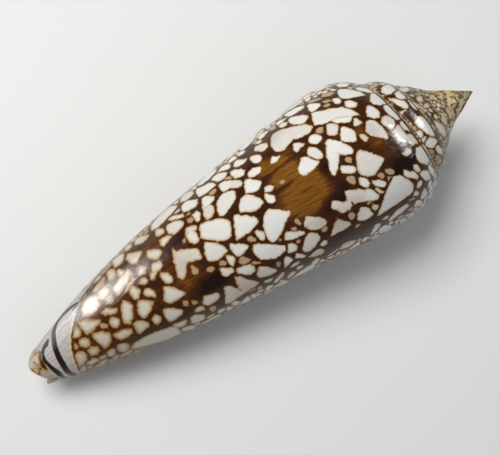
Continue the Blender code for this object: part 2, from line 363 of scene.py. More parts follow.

# Tents on the back, read off: the corners of each, in pixels of the photograph across the
# shell's axis, to the right, and along it from the apex
WHITE_TENTS = (
    (-42, 62.5, -41, 58.5, -36, 53, -34, 53.5, -34.5, 57.5, -40, 61.5),
    (-39.5, 64, -37, 61, -31, 60, -29, 61.5, -30.5, 65.5, -34.5, 68, -38.5, 67.5),
    (-51, 73, -49.5, 67, -44.5, 65, -41, 66, -40.5, 71, -43.5, 76.5, -48.5, 77.5, -51, 75.5),
    (-26, 58.5, -23, 56, -17, 52.5, -9, 51.5, -12, 54.5, -14.5, 58.5, -20, 60, -25.5, 60),
    (-39, 76, -37, 72.5, -31, 66.5, -27, 63, -20, 62.5, -19.5, 64.5, -23, 68.5, -31, 73.5),
    (-7, 60, -5, 56.5, 0, 55.5, 10, 55, 16, 55.5, 18.5, 57, 14.5, 60.5, 9, 63, 1, 66.5, -4, 66.5),
    (16.5, 62.5, 19.5, 58, 24, 56.5, 26.5, 61.5, 27.5, 64, 25.5, 67.5, 23, 69, 19, 68.5),
    (27.5, 58.5, 29, 57.5, 36.5, 58.5, 38.5, 60.5, 35, 61.5, 31, 63, 28, 61.5),
    (19.5, 51.5, 23.5, 51, 26, 53.5, 24, 54.5, 20.5, 53),
    (-34.5, 82.5, -31, 78, -27, 75.5, -18.5, 75, -14.5, 77.5, -16, 80, -23, 83, -29, 85, -33, 84),
    (-51.5, 87, -48.5, 83, -42.5, 80.5, -34.5, 78.5, -36, 83, -37.5, 87, -41, 91, -44.5, 92.5, -48.5, 91),
    (-25.5, 88, -21.5, 84, -15.5, 82, -11, 84.5, -11, 90, -17, 93.5, -22, 94, -25.5, 91),
    (-43.5, 97, -40, 93.5, -34.5, 91, -30, 91, -27.5, 93, -29.5, 99, -34.5, 103, -39, 101),
    (-64, 96, -60, 90.5, -54, 86, -51.5, 85, -52.5, 87.5, -55.5, 91, -60, 95.5, -64.5, 98.5),
    (-49.5, 66.5, -48, 61.5, -44.5, 59, -43.5, 60.5, -45.5, 64.5),
    (-29.5, 56, -29, 53, -27, 52.5, -25.5, 54.5, -27.5, 56.5),
    (-12, 75, -8, 73.5, 2.5, 73.5, 0, 75.5, -2, 79, -9, 80, -12.5, 78),
    # This pale tent follows the bright highlight on the shoulder, so it is partly a painted highlight.
    (-11, 82, -8, 80, 3, 80, 7, 82.5, 9, 85, 3, 88.5, -5, 89, -10, 86),
    (2, 78.5, 5, 75, 10.5, 74, 15.5, 74.5, 14.5, 80, 9, 82, 3.5, 82),
    (18.5, 78.5, 19.5, 74, 24, 72.5, 31, 72, 36, 74, 38.5, 77, 35, 81.5, 29.5, 83.5, 23.5, 82),
    (14, 86.5, 17.5, 84, 21, 85.5, 19.5, 91.5, 16, 93),
    (38.5, 76.5, 40.5, 75.5, 47.5, 75.5, 52, 78.5, 48, 80, 42.5, 79),
    (41.5, 84.5, 44, 81, 48, 81, 52, 82.5, 52, 87, 48, 89, 42, 89),
    (31.5, 89, 33.5, 87, 39, 86.5, 41, 88.5, 38, 91, 34, 91),
    (30.5, 101, 34, 97, 38, 92.5, 44, 92, 45.5, 94, 42.5, 97.5, 37.5, 102, 33, 102.5),
    (48, 92.5, 49.5, 91, 52.5, 93, 54, 97, 52.5, 99, 49.5, 97),
    (56.5, 93, 59, 92, 64, 94, 65.5, 98, 63.5, 103, 61, 99, 58, 96),
    (54, 83, 56.5, 84, 59.5, 90, 57, 89, 54, 85.5),
    (54.5, 101, 58, 100, 59.5, 103, 57, 105.5, 54.5, 103.5),
    (3.5, 50, 9, 45.5, 13, 44, 20.5, 44.5, 25.5, 47, 23.5, 49, 17.5, 50.5, 10, 51),
    (-12, 54, -10, 51.5, -6, 51, -8, 53.5),
    (-61, 133, -58, 125, -54.5, 118.5, -48.5, 113.5, -42.5, 109.5, -40, 109, -42.5, 116, -46, 123,
     -50, 131),
    (-50, 131, -46, 122, -43, 117, -39, 119.5, -41, 125.5, -45, 132, -50, 137),
    (-66.5, 147, -64, 140, -60.5, 132, -50, 130, -50, 137, -52, 146, -55, 152, -61, 150.5, -66, 148.5),
    (-59, 114, -55.5, 107.5, -50.5, 105, -48.5, 108.5, -51.5, 113.5, -55.5, 115.5),
    (-71.5, 111, -67, 104, -60, 97, -55, 94, -51, 94, -50.5, 96.5, -54, 103, -59.5, 110, -61, 115,
     -68, 115.5, -71.5, 113.5),
    (-39.5, 114.5, -35.5, 112, -32, 111, -31, 114.5, -33.5, 118.5, -36, 118),
    (-30, 107.5, -29.5, 103, -27, 99.5, -20, 96.5, -10, 95.5, -4, 97, -10.5, 104.5, -17, 110.5, -21.5,
     112.5, -27, 110),
    (-23, 118, -21, 115.5, -17, 113, -14.5, 114, -14, 117.5, -17, 119.5, -22, 120),
    (-38, 130.5, -37, 127, -31, 123, -25.5, 122, -20.5, 125.5, -21, 130, -25.5, 136, -29, 137, -34, 134.5),
    (-49, 138.5, -44.5, 134, -41, 133, -35.5, 138, -36, 142, -40, 145.5, -44.5, 144.5, -48, 142),
    (-10, 128.5, -6, 123, -1, 118.5, 5, 114.5, 10, 111, 11.5, 112.5, 15, 118.5, 18.5, 127.5, 16, 135,
     10.5, 139.5, 6, 139, -0.5, 136.5, -8, 131.5),
    (-36, 149, -33, 143, -25.5, 138.5, -18.5, 133, -14, 132.5, -10.5, 135, -15, 143.5, -20, 150, -33, 153),
    (-6.5, 151, -3, 146, 1, 141.5, 3, 140.5, 6.5, 143.5, 5, 147.5, -0.5, 153.5, -4, 153),
    (21.5, 130.5, 26, 127, 28, 123, 30.5, 120.5, 32.5, 122.5, 34, 127, 32.5, 129, 29, 133.5, 24, 133.5),
    (30, 133, 33.5, 131.5, 38, 129.5, 38, 132, 35, 134.5, 32, 134.5),
    (31, 113, 33, 107, 42.5, 101.5, 49, 101, 54, 104.5, 55.5, 120, 56.5, 141, 56.5, 149, 48, 138.5, 38,
     124),
    (13.5, 142.5, 16, 139, 19.5, 136, 24, 137, 25.5, 141, 23.5, 143.5, 19, 144.5),
    (42.5, 144.5, 46, 141.5, 47.5, 141, 50.5, 147, 46, 147.5),
    (-30, 150, -14, 147, -8, 154.5, -3, 158, -2, 162, -5, 164.5, -11, 163, -20, 159, -30, 156),
    (-85, 150, -80.5, 150, -81, 160, -80.5, 172, -81.5, 176, -83, 168),
    (-83, 172, -80.5, 175, -79.5, 185, -79, 196, -80, 200, -82.5, 190),
    (-80, 205, -77, 207, -74, 215, -72.5, 222, -73, 229, -76.5, 229, -79.5, 216),
    (-77.5, 151.5, -75.5, 153, -75, 160, -75.5, 168, -78, 172, -80, 173, -80, 163, -79, 156),
    (-66, 153, -64, 155, -62.5, 160, -64.5, 166, -68, 171, -72, 171.5, -74, 169.5, -72.5, 163, -69, 156),
    (-71.5, 174.5, -70, 177, -70, 181, -71.5, 183, -74, 182.5, -74, 178),
    (-78, 197, -76.5, 200, -75.5, 206, -75, 210, -78, 205),
    (-59, 158, -54, 154.5, -51, 157, -51.5, 162, -49, 168, -54.5, 178, -66, 176, -63, 166),
    (-66, 175, -55, 177, -54, 180, -50.5, 184, -50.5, 194, -53, 199, -60, 199.5, -66, 197, -69, 193,
     -69.5, 186),
    (-46, 154, -42, 152.5, -39, 154, -38, 158, -39.5, 163, -43.5, 166, -47, 163.5, -47.5, 159),
    (-35, 163.5, -28, 161, -25, 161.5, -24, 165, -25, 169, -31, 173, -33.5, 173.5, -39, 169.5, -38, 167),
    (-34, 180, -30.5, 174, -22, 168.5, -20, 170, -17.5, 176, -18, 183, -17.5, 187, -20, 189.5, -24.5,
     190, -31, 185),
    (-45.5, 170.5, -43, 176, -42, 182, -43, 183, -50, 181, -51, 178.5, -48, 175),
    (-46, 196.5, -44.5, 197.5, -45, 203, -42, 209, -45, 210, -49.5, 207, -50.5, 204, -48, 200),
    (-65, 202.5, -61.5, 203.5, -60.5, 208, -62, 213, -65, 216, -68, 215, -68, 211, -67, 206),
    (-60, 216, -56, 214, -53.5, 217, -54, 222, -57, 224.5, -61.5, 224.5, -62, 221),
    (-70.5, 205, -69, 206, -69.5, 211.5, -71.5, 212.5, -72, 209),
    (14, 159, 15.5, 155, 25.5, 145.5, 28, 140.5, 36, 147, 34, 156, 33, 162, 27, 164.5, 22, 163.5),
    (27, 144, 28, 140.5, 38, 135, 41.5, 138, 41, 142, 36.5, 149, 34, 153),
    (26, 166, 30, 160, 36, 160.5, 39, 163, 37.5, 167, 36, 170, 38.5, 175, 33, 178, 28, 176),
    (25, 170, 30, 170, 28.5, 177.5, 25, 181, 21.5, 180, 19.5, 177),
    (39.5, 156, 42.5, 152, 45, 150.5, 52, 149.5, 53.5, 156, 52, 162, 48.5, 167, 42, 162),
    (36, 184, 41, 178, 45, 174.5, 49, 174, 49.5, 180, 49, 190, 48, 198, 44, 194.5, 38.5, 187),
    (61.5, 152, 64, 147, 66, 149, 67.5, 156, 69, 160, 68, 164, 65, 160, 63, 157),
    (67, 147, 69, 143, 73, 140, 74, 146, 71.5, 155, 69, 154.5, 67.5, 152),
    (67, 168, 69, 166, 70, 170, 69, 175, 67, 172),
    (62, 183, 65, 178, 66.5, 182, 66, 190, 63.5, 198, 61.5, 194, 60.5, 188),
    (62, 198, 63.5, 198, 63.5, 212, 62.5, 210),
    (46.5, 204.5, 50, 202.5, 52.5, 205, 52, 211, 50, 213, 47.5, 209),
    (18.5, 208, 24, 200, 29, 194, 33.5, 193.5, 36, 198, 34.5, 206, 31, 212, 26, 214.5, 22.5, 213),
    (51, 216, 54, 211, 57.5, 211, 59, 216, 57, 221, 56, 226, 54, 229, 52, 222),
    (58.5, 221, 60, 219, 63, 222, 63, 230, 60, 228),
    (-48, 220.5, -45, 222, -43.5, 226, -44, 232, -46.5, 235.5, -50, 233, -51.5, 227),
    (-36, 228, -33.5, 229, -31, 234, -31, 240, -34.5, 246, -43.5, 242.5, -45.5, 239, -41, 233),
    (-57, 238, -54.5, 236, -51, 238, -51, 243, -53, 248.5, -57, 249.5, -60, 248, -59.5, 243),
    (-62.5, 228, -61, 231, -60.5, 240, -63, 242, -66, 240.5, -66.5, 236.5, -64.5, 232),
    (-72, 228, -70, 224.5, -69, 229, -69, 232, -71, 234, -72, 231),
    (-68, 245.5, -65, 245, -64, 249, -66, 256, -67, 258.5, -69, 254, -69, 249),
    (-63.5, 255, -62, 252, -59.5, 254, -58.5, 260, -59, 265, -64, 268.5, -65.5, 263, -65, 259),
    (-47.5, 245, -44.5, 244.5, -42.5, 248, -44, 253, -47, 257, -52, 253),
    (-47.5, 256, -46.5, 263, -51.5, 266.5, -55.5, 265, -56, 260, -52, 252),
    (-43.5, 257, -39.5, 253, -37, 254, -35, 258.5, -28, 262, -27.5, 272, -28, 280, -31, 281, -37, 279,
     -42, 275.5, -45.5, 269, -45.5, 262),
    (-31, 245, -20, 236.5, -17, 237.5, -14.5, 243, -15, 250, -21.5, 260.5, -25, 260, -32.5, 253, -32.5,
     250),
    (-23, 230, -20, 227, -15, 224.5, -12, 226, -11.5, 229.5, -14, 232, -20, 233),
    (-29, 224, -25, 220.5, -23, 222.5, -22.5, 225, -25, 229.5, -28.5, 228),
    (-8.5, 237, -6, 232, -1, 226, 4, 220, 8.5, 219.5, 13, 223, 17, 231, 20, 241, 24, 247, 24, 249, 18, 252,
     11, 251, 2, 248, -3, 245),
    (-6.5, 250.5, -3, 251, 0.5, 256, 0.5, 265, 3.5, 275, 2.5, 278, -1, 281, -6, 278, -13, 273.5, -20, 270.5,
     -21.5, 268, -15, 259),
    (-27, 284, -21, 276.5, -15.5, 276.5, -9, 280, -5.5, 283, -4.5, 289, -8, 294, -13, 301, -20, 308, -31,
     303,
     -31.5, 299),
    (-48.5, 276, -46.5, 276.5, -43.5, 282, -43, 291.5, -49, 289, -52.5, 286.5, -52.5, 281),
    (-44, 283, -39, 281.5, -35, 284, -32.5, 288, -32.5, 294, -37, 294, -44, 291),
    (-59, 267.5, -57, 268.5, -56, 274, -55, 282, -56, 288, -61, 288.5, -63.5, 286, -63, 279, -62, 272),
    (-70, 259, -68.5, 260, -67, 265, -65.5, 272, -65, 280, -66, 284, -68, 281, -70.5, 272, -71.5, 265),
    (-77, 225, -75, 228, -72.5, 240, -72, 246, -74, 243, -76, 235),
    (28, 219, 32, 218.5, 34.5, 221, 33, 225, 30.5, 230, 30, 236, 27, 239, 20.5, 232.5, 24, 226),
    (33.5, 214, 37, 208.5, 43, 206.5, 46, 211, 48.5, 217, 49.5, 223, 48, 228, 43.5, 229.5, 38.5, 224,
     34.5, 219),
    (31.5, 238, 33, 234, 38, 231, 41.5, 234, 41, 240, 40, 242.5, 35, 241),
    (43.5, 236, 46, 232, 51, 228, 53, 231, 50, 236, 48, 240, 45.5, 239),
    (30, 242, 35.5, 242, 37, 251, 37.5, 265, 35, 268.5, 30, 269.5, 28, 273, 24, 273, 17, 270.5, 14, 268,
     14.5, 264,
     22, 254, 27, 246),
    (40.5, 245, 43, 243, 48, 242, 50, 249, 50, 254.5, 47, 253, 42, 250),
    (47, 260.5, 49, 262, 49, 271, 46, 279, 43, 282, 38, 278.5, 35.5, 275, 36.5, 272, 41, 266),
    (52, 268, 54, 272, 53, 277, 50.5, 279.5, 49.5, 277, 50.5, 273),
    (54, 256, 56, 256, 57, 262, 59, 268, 58, 270.5, 55.5, 270, 53, 262, 52.5, 258),
    (51, 237, 53, 236, 54, 238, 54, 246, 52.5, 250.5, 51, 246),
    (56, 239, 58, 236.5, 59, 238, 59, 243, 57, 244, 55.5, 242),
    (56.5, 250, 59, 246, 60.5, 249, 61, 255, 60, 257, 57.5, 253),
    (61, 230, 64, 226, 65.5, 232, 64, 245, 62.5, 254, 61.5, 245),
    (60.5, 260, 63, 258, 62, 268, 61, 275, 60, 270),
    (57, 275, 58.5, 272, 60, 277, 59.5, 283, 57.5, 281, 56.5, 278),
    (3, 257.5, 7, 253.5, 12, 253.5, 15, 256, 14.5, 258, 10.5, 259.5, 4, 259.5),
    (1, 286, 6, 279, 11, 273, 14, 273.5, 15, 279, 16.5, 282, 14, 287.5, 6, 289, 2, 288.5),
    (8, 297, 11, 292, 15, 290.5, 17.5, 292.5, 20.5, 296, 17.5, 298, 10.5, 298),
    (28, 281, 33, 279, 37, 280.5, 37.5, 287, 33, 293, 29.5, 296.5, 25.5, 294.5, 25.5, 291),
    (50.5, 290, 52, 289.5, 52, 295, 51, 296.5),
    (-65, 291, -62, 291, -60, 296, -60, 303, -61, 306.5, -64, 305, -66, 300, -66, 295),
    (-55, 291.5, -52, 292, -49.5, 296, -49.5, 304, -51, 309.5, -55.5, 309.5, -58.5, 306, -58.5, 300),
    (-64, 307.5, -62.5, 309, -62.5, 314, -64, 313),
    (-60, 312, -57.5, 315, -56, 322, -53.5, 330, -52, 336, -52.5, 345, -55, 346, -58, 342, -61, 333, -63,
     322, -63, 316),
    (-50, 311, -47.5, 311.5, -48, 316, -51, 325, -53.5, 326, -54, 322),
    (-56, 311, -54.5, 312, -54.5, 319, -56, 316),
    (-46, 316.5, -42, 315.5, -38.5, 320, -37.5, 330, -39, 333, -47, 333, -49, 330, -49, 324),
    (-49.5, 337, -47, 335.5, -43.5, 337.5, -44, 342, -46, 345, -50.5, 344, -51, 340),
    (-39, 332, -37.5, 332, -35, 338, -33, 344, -36, 346.5, -40, 344, -40.5, 340),
    (-36, 310.5, -31.5, 306.5, -30, 308, -30, 319.5, -36, 316.5),
    (-31, 309, -27, 310, -22, 308.5, -19, 312, -18.5, 317, -23, 320, -31, 320),
    (-45, 298, -42, 296, -36, 300, -36, 303, -44, 303.5),
    (-25, 338, -19, 328, -17, 320, -12, 316.5, -7, 317.5, 0, 321, -2, 325, -6, 331, -8, 338, -18, 341),
    (-25, 338.5, -10, 331, -5, 335, 4, 342, 4.5, 346, 1, 348.5, -6, 346.5, -15, 344),
    (-33, 350, -29, 349.5, -26, 355, -26.5, 359, -30, 363, -34, 363.5, -37.5, 361, -37, 357, -34.5, 353),
    (-22, 356, -17, 356, -15.5, 360, -14.5, 366, -19, 367, -24, 364),
    (-19, 364, -14.5, 364.5, -10, 370, -12, 373, -16, 371),
    (-12, 361, -8, 355.5, -2, 354, 2, 355.5, 1.5, 360, -2, 362.5, -10, 363.5),
    (-50.5, 351, -48.5, 354, -47, 361, -49, 368, -53, 366, -54, 360, -52.5, 355),
    (-14, 307, -8, 299.5, 0, 293.5, 4, 293, 7, 300, 6.5, 308, 4, 314, 0, 315.5, -4, 313.5, -10, 312.5),
    (16, 308, 19, 303, 22, 298.5, 26, 299, 26, 306, 24, 309.5, 18, 309.5),
    (31, 300, 34, 295, 40, 290, 48.5, 282, 50, 286, 50, 303, 38, 303),
    (38, 302, 50, 300, 50.5, 318, 49, 324.5, 44, 321, 39, 318, 33, 315, 33, 311, 36, 309),
    (34, 324, 38, 322.5, 41, 325, 42, 332, 41, 340, 37, 342, 33, 339.5, 31, 337, 32.5, 331),
    (50.5, 331, 52, 325.5, 54, 327, 54, 333, 51, 333.5),
    (50.5, 339, 52, 337, 52.5, 344, 51, 345),
    (54, 300, 57, 298, 59.5, 300, 58, 308, 57, 314, 55.5, 308),
    (54.5, 297, 57, 290, 60, 286, 59.5, 296, 57, 298),
    (37, 346, 39, 342.5, 42, 342.5, 43, 344, 41, 350, 40, 353.5, 37, 351.5),
    (41.5, 354, 46, 347, 49.5, 347.5, 50.5, 351, 49, 358, 47, 362, 42, 360),
    (0, 369, 5, 361, 12, 355, 18, 351.5, 19, 352, 19.5, 365, 18, 374.5, 14, 372.5, 9, 375, 2, 373.5),
    (49, 363, 52, 359, 53.5, 362, 51, 370, 48, 374.5, 46.5, 372, 47.5, 367),
    # This thin strip along the right outline is a painted highlight rim, drawn as a pale tent.
    (54, 334, 56.5, 331, 55.5, 343, 53.5, 356, 52.5, 352),
    (-53, 371, -50, 371.5, -48.5, 377, -50, 380, -52.5, 378),
    (-40, 366, -37, 369, -33, 377, -36, 382, -43, 383, -45.5, 379, -43, 371),
    (-29, 375, -25, 371, -20, 374.5, -21, 381, -26, 379.5),
    (-17.5, 378, -13, 376, -10.5, 379, -11, 382.5, -14, 384, -18, 381),
    (-7, 383, -4, 378.5, 0, 376.5, 5, 377.5, 5.5, 379, 0, 385.5, -3, 386.5),
    (-17.5, 391, -12, 389, -8.5, 387, -5, 390, -2.5, 393.5, -3.5, 397.5, -9, 398.5, -15, 397),
    (-49.5, 387, -48, 382.5, -45, 384, -41.5, 388, -40.5, 396, -44, 397, -47.5, 396.5),
    (-41.5, 402, -39.5, 399, -34.5, 399, -33, 402, -32.5, 406, -34.5, 408.5, -39, 407.5, -41.5, 406),
    (-38, 395, -34, 391.5, -30.5, 393, -31, 398, -36, 398),
    # This pale tent lies in the front highlight streak, so it is partly a painted highlight.
    (-33, 388, -28, 385.5, -24, 390, -19, 400, -15.5, 407, -16, 409.5, -24, 410, -27, 404, -31, 394.5),
    (-22.5, 387.5, -18.5, 387, -17.5, 390, -18, 398, -13, 400.5, -11, 404, -12, 408.5, -15, 406, -20, 396),
    (-30, 417, -27, 413.5, -23, 415, -20.5, 422, -21.5, 426, -26, 425.5, -29, 423),
    (-20, 417, -17, 414.5, -13.5, 416, -12.5, 420, -15, 423.5, -19, 422.5),
    # This pale tent lies in the front highlight streak, so it is partly a painted highlight.
    (-29, 434, -26, 428.5, -18, 429, -15.5, 434, -13.5, 441, -14, 446, -17, 450.5, -24, 446, -28, 440),
    (-11.5, 427, -8, 420.5, -5, 417, -2.5, 418, -3, 424, -6, 431, -10, 432.5),
    (-9, 440, -6, 436.5, -3, 438, 0, 447, 1.5, 452, 0.5, 456, -5, 458, -13.5, 457, -15, 453, -11.5, 448),
    (-43, 414, -40, 414, -38.5, 423, -40, 426, -42.5, 421),
    (-36, 437, -33.5, 436, -31, 442, -30.5, 446, -33.5, 448, -36, 443),
    (-41.5, 428, -38, 430, -36.5, 440, -38, 443, -40.5, 436),
    (22, 374, 26, 367.5, 32, 362, 34, 364, 35.5, 372, 35, 378, 31, 381, 26, 380.5, 21.5, 379),
    (41, 365.5, 43, 364.5, 45, 369, 44.5, 374, 40.5, 379, 38.5, 378),
    (39, 381, 42, 376, 50, 375.5, 48.5, 390, 45.5, 402, 42, 415, 39, 425, 36, 425.5, 33, 420, 31.5, 414,
     34, 404, 34, 390),
    (20.5, 388, 25, 384.5, 28, 386, 30, 392, 27, 393.5, 23, 393),
    (-0.5, 395, 4, 387.5, 9, 382.5, 13, 378.5, 15, 381, 16, 388, 17, 394, 20, 398, 15, 401, 10, 401.5, 2,
     397.5),
    (16, 409, 19, 401.5, 24, 398.5, 27, 399.5, 28, 405, 28.5, 412, 22, 412.5, 16.5, 411),
    (-9, 408, -3, 403, 0, 402.5, 9, 407, 14.5, 413.5, 12, 418, 8, 418.5, 0, 415, -6, 411.5),
    (15, 430, 16, 422.5, 20, 416, 23, 416.5, 24.5, 421, 24, 429, 20, 433.5, 15, 434),
    (26.5, 434, 28, 429.5, 32, 426.5, 35, 429, 36, 434, 32, 438, 27.5, 438),
    (-0.5, 427, 2, 422.5, 6, 420.5, 9, 422.5, 11, 427, 8, 431, 2, 431),
    (3.5, 450, 7, 441.5, 11, 436.5, 16, 437.5, 20, 440, 22, 446, 22.5, 448.5, 17, 450.5, 11, 452.5, 5, 453),
    (26, 443, 28, 441, 32, 441.5, 33, 445, 31, 449.5, 27, 449),
    (34.5, 441.5, 36.5, 441, 37.5, 446, 34.5, 448.5),
    (37, 428, 39.5, 427, 38.5, 440, 36.5, 438),
    (-13.5, 461, -8, 460, -3, 460.5, -1.5, 464, -2, 467.5, -4, 470, -8, 466.5),
    (1, 465, 3, 459.5, 6, 457.5, 10, 458.5, 12, 462, 10, 466, 4, 468),
    (13.5, 459.5, 17, 454, 21, 454.5, 23, 458, 21, 463.5, 15.5, 464.5),
    (11, 474, 13, 469.5, 18, 467, 23, 471, 24.5, 476.5, 24, 480, 17, 479, 12, 478),
    (24.5, 463, 27, 460, 29.5, 461, 29, 469.5, 26.5, 473, 24.5, 470.5),
    (26.5, 456, 28, 451.5, 30, 452, 30, 457, 27.5, 458),
    (31.5, 456, 33, 452, 35.5, 456, 34, 464, 32, 468),
    (26, 475, 28.5, 474, 31, 478, 29, 481.5, 26, 480.5),
    (-77.5, 109, -75, 105, -71.5, 100.5, -70.5, 104, -73, 109, -75, 112, -77.5, 112),
    (-66.5, 119, -62.5, 116.5, -60.5, 117, -60, 121, -62, 123, -67, 123),
    (-82.5, 119, -79.5, 112, -79, 116, -81, 127, -83, 140, -84.5, 150, -87, 150, -86, 135),
    (-75.5, 146, -72, 138, -69, 136.5, -67.5, 141, -67, 146.5, -70, 148.5, -75, 148),
    (-67, 94, -66.5, 87, -62, 79, -56, 71.5, -54, 71, -58, 76, -62, 81, -64, 88, -65, 95),
    (51, 69.5, 53.5, 73.5, 58, 79, 55, 78.5, 52, 74),
    (57, 82, 60, 85, 66, 91, 63, 91, 59, 87.5, 57, 84.5),
    (68, 97, 71.5, 100, 73.5, 108, 71, 106, 69, 101),
    (61, 116, 64, 115, 65, 122, 67, 133, 67, 140.5, 65, 140.5, 62.5, 134, 60.5, 126),
    (71, 115, 74, 112, 75, 118, 74.5, 124, 72, 121),
    (60, 139, 62, 137.5, 63, 142, 61.5, 145, 60, 143),
    (71, 126, 74, 124.5, 74.5, 132, 72, 132),
    (-24, 49, -22.5, 46.5, -19.5, 46.5, -17.5, 48.5, -18.5, 51.5, -22.5, 52),
    (-14.5, 48.5, -13.5, 45, -11, 44.5, -9, 47, -10.5, 49.5, -13.5, 50),
    (-8, 46.5, -5.5, 44.5, -3, 46, -4.5, 48, -7, 48.5),
    (1.5, 39.5, 6, 37.5, 12, 38, 17.5, 41, 14, 42, 7, 42),
    (1, 31.5, 5, 30.5, 10.5, 31.5, 13, 34, 9, 33.5, 4, 33),
    (2, 35.5, 7, 35, 12.5, 36.5, 8, 37, 3, 36.5),
    (-18, 37.5, -13, 35, -11, 36, -15, 38.5, -18.5, 39.5),
    (-10, 43, -6, 41.5, -3, 42.5, -7, 43.5),
    (-19, 43.5, -15, 41.5, -11.5, 41, -14, 43, -18, 45),
    (-9, 36.5, -4.5, 35, -3, 37, -7, 38.5),
    (-41, 56, -39, 54, -37, 52, -39.5, 57.5),
    (-35.5, 52, -33, 50, -31, 50.5, -33, 52),
)

TAN_TENTS = (
    (-50.5, 151, -48.5, 147.5, -45, 149, -44.5, 152.5, -47.5, 154.5),
    (-10, 143, -8.5, 139.5, -6.5, 138.5, -4, 141, -6.5, 144, -9, 144.5),
    (20.5, 114.5, 22.5, 111.5, 26, 110, 28, 111.5, 26, 116, 22, 116.5),
    (20, 122, 22, 120.5, 25.5, 120, 26, 124, 22, 125.5, 20, 125),
    (27, 118, 29.5, 115, 31.5, 119),
    (6.5, 151.5, 9.5, 147, 15, 148, 15, 151.5, 12, 153.5, 8, 153.5),
    (37.5, 147, 39.5, 145.5, 41.5, 148.5, 39.5, 150),
    (-75.5, 185, -73.5, 187, -73.5, 191, -76, 194.5, -77, 190),
    (38.5, 167, 42, 166, 45.5, 168, 45, 172, 41.5, 173, 39, 171),
    (51.5, 167, 54, 165.5, 54.5, 170, 53.5, 173, 51.5, 171),
    (36, 197, 39, 196, 41, 199, 40, 203, 37, 202),
    (14.5, 219, 17, 216.5, 20.5, 215.5, 21.5, 217.5, 19, 220, 16, 220.5),
    (20.5, 225, 22, 223, 24.5, 223, 24, 226, 21, 227),
    (-25, 208.5, -23.5, 208, -22.5, 210, -24, 211.5, -25.5, 210.5),
    (35.5, 65.5, 38, 63, 42.5, 63.5, 45, 66.5, 43.5, 68.5, 38, 68.5),
    (25.5, 69.5, 29, 65.5, 31, 64.5, 32.5, 68.5, 32, 70),
    (44, 70.5, 48.5, 71, 50.5, 73.5, 48, 75, 45, 73.5),
    (-55.5, 250.5, -54, 250, -55, 254, -57, 256.5, -57.5, 254),
    (-54, 271.5, -52, 270.5, -51, 272, -51, 277, -53, 278, -54, 276),
    (41, 255, 43, 253.5, 46, 255.5, 47, 258, 44, 260, 41.5, 259),
    (51.5, 284, 53.5, 281.5, 55.5, 284, 55, 287.5, 53, 288),
    (4.5, 266, 7, 264, 10.5, 263.5, 10, 267.5, 8, 270, 5, 269),
    (18, 284.5, 21, 281, 24.5, 279.5, 26, 282, 25.5, 285.5, 22, 288.5, 19, 287),
    (28, 276, 30, 273.5, 32.5, 272, 31, 276.5, 28.5, 278.5),
    (22.5, 242, 24, 241.5, 24.5, 243, 23, 243.5),
    (33, 226.5, 35.5, 225.5, 37, 229, 34.5, 230.5),
    (-42.5, 306, -39.5, 305.5, -38.5, 308.5, -40, 311, -43, 310),
    (-48, 305, -46.5, 305, -46.5, 308.5, -47.5, 308.5),
    (-28, 323, -25, 323, -25.5, 325, -27.5, 325),
    (10, 304, 13, 301, 15.5, 302, 15, 304, 12.5, 306.5, 10.5, 306),
    (9.5, 318, 11.5, 314, 13.5, 314.5, 13, 319, 11, 321),
    (43.5, 336, 46, 332.5, 49, 334.5, 49, 337, 47, 339.5, 44, 339),
    (28.5, 350, 31, 346, 33.5, 346, 33.5, 348.5, 31.5, 351),
    (24, 357, 26, 354, 28.5, 354, 30, 356, 28, 358.5),
    (-1, 331, 3, 328.5, 6, 328.5, 8, 330.5, 6.5, 333.5, 3, 334),
    (-55.5, 350, -54.5, 351, -54.5, 355, -55.5, 353.5),
    (-39, 412, -37, 411, -33.5, 415.5, -31, 422, -31, 427, -33, 427.5, -36, 421.5),
    (-47, 398.5, -45, 399.5, -42, 410, -43.5, 412, -46, 404),
    (-31, 412, -28.5, 411.5, -29, 414.5),
    (-0.5, 438, 2, 435, 5, 434.5, 5.5, 437, 3, 440.5, 0.5, 440.5),
    (1.5, 471.5, 4, 470, 8, 471, 8, 473, 5, 473.5),
    (-76.5, 129, -75, 122, -72, 118.5, -71.5, 121, -73, 127, -75, 131.5),
    (-69.5, 128, -67.5, 126, -68, 131, -70, 132),
    (-66, 130, -64, 128.5, -64, 132, -66, 134),
    (-78, 144, -75.5, 134, -74, 133, -75, 140, -77.5, 147),
    (-59, 83, -57, 78, -54.5, 76, -55, 82, -58, 86.5),
    (-67.5, 98, -65.5, 97, -65, 99, -67, 100),
    (59, 107, 61, 106, 60.5, 111, 59, 112),
    (66.5, 114, 68.5, 112, 69, 117, 67.5, 119),
    (67.5, 127, 69, 125, 70, 128, 69, 132, 68, 131),
)


def smooth_curve(points):
    """Returns a function through the points that never overshoots them."""
    xs, ys = np.array(points, dtype=float).T
    steps = np.diff(xs)
    slopes = np.diff(ys) / steps
    tangents = np.empty_like(ys)
    tangents[0] = slopes[0]
    tangents[-1] = slopes[-1]
    for i in range(1, len(xs) - 1):
        before, after = slopes[i - 1], slopes[i]
        tangents[i] = 2 * before * after / (before + after) if before * after > 0 else 0.0

    def value(x):
        x = np.asarray(x, dtype=float)
        i = np.clip(np.searchsorted(xs, x) - 1, 0, len(steps) - 1)
        t = (x - xs[i]) / steps[i]
        start = (1 + 2 * t) * (1 - t) ** 2 * ys[i] + t * (1 - t) ** 2 * steps[i] * tangents[i]
        end = t * t * (3 - 2 * t) * ys[i + 1] + t * t * (t - 1) * steps[i] * tangents[i + 1]
        return np.where(t > 1, ys[-1] + (x - xs[-1]) * tangents[-1], start + end)

    return value


def ease(x, span):
    """Goes smoothly from 0 at the start of the span to 1 at its end."""
    start, end = span
    t = np.clip((x - start) / (end - start), 0.0, 1.0)
    return t * t * (3 - 2 * t)


spire_radius = smooth_curve(SPIRE_PROFILE)
body_radius = smooth_curve(BODY_PROFILE)
spire_bend = smooth_curve(SPIRE_BEND)


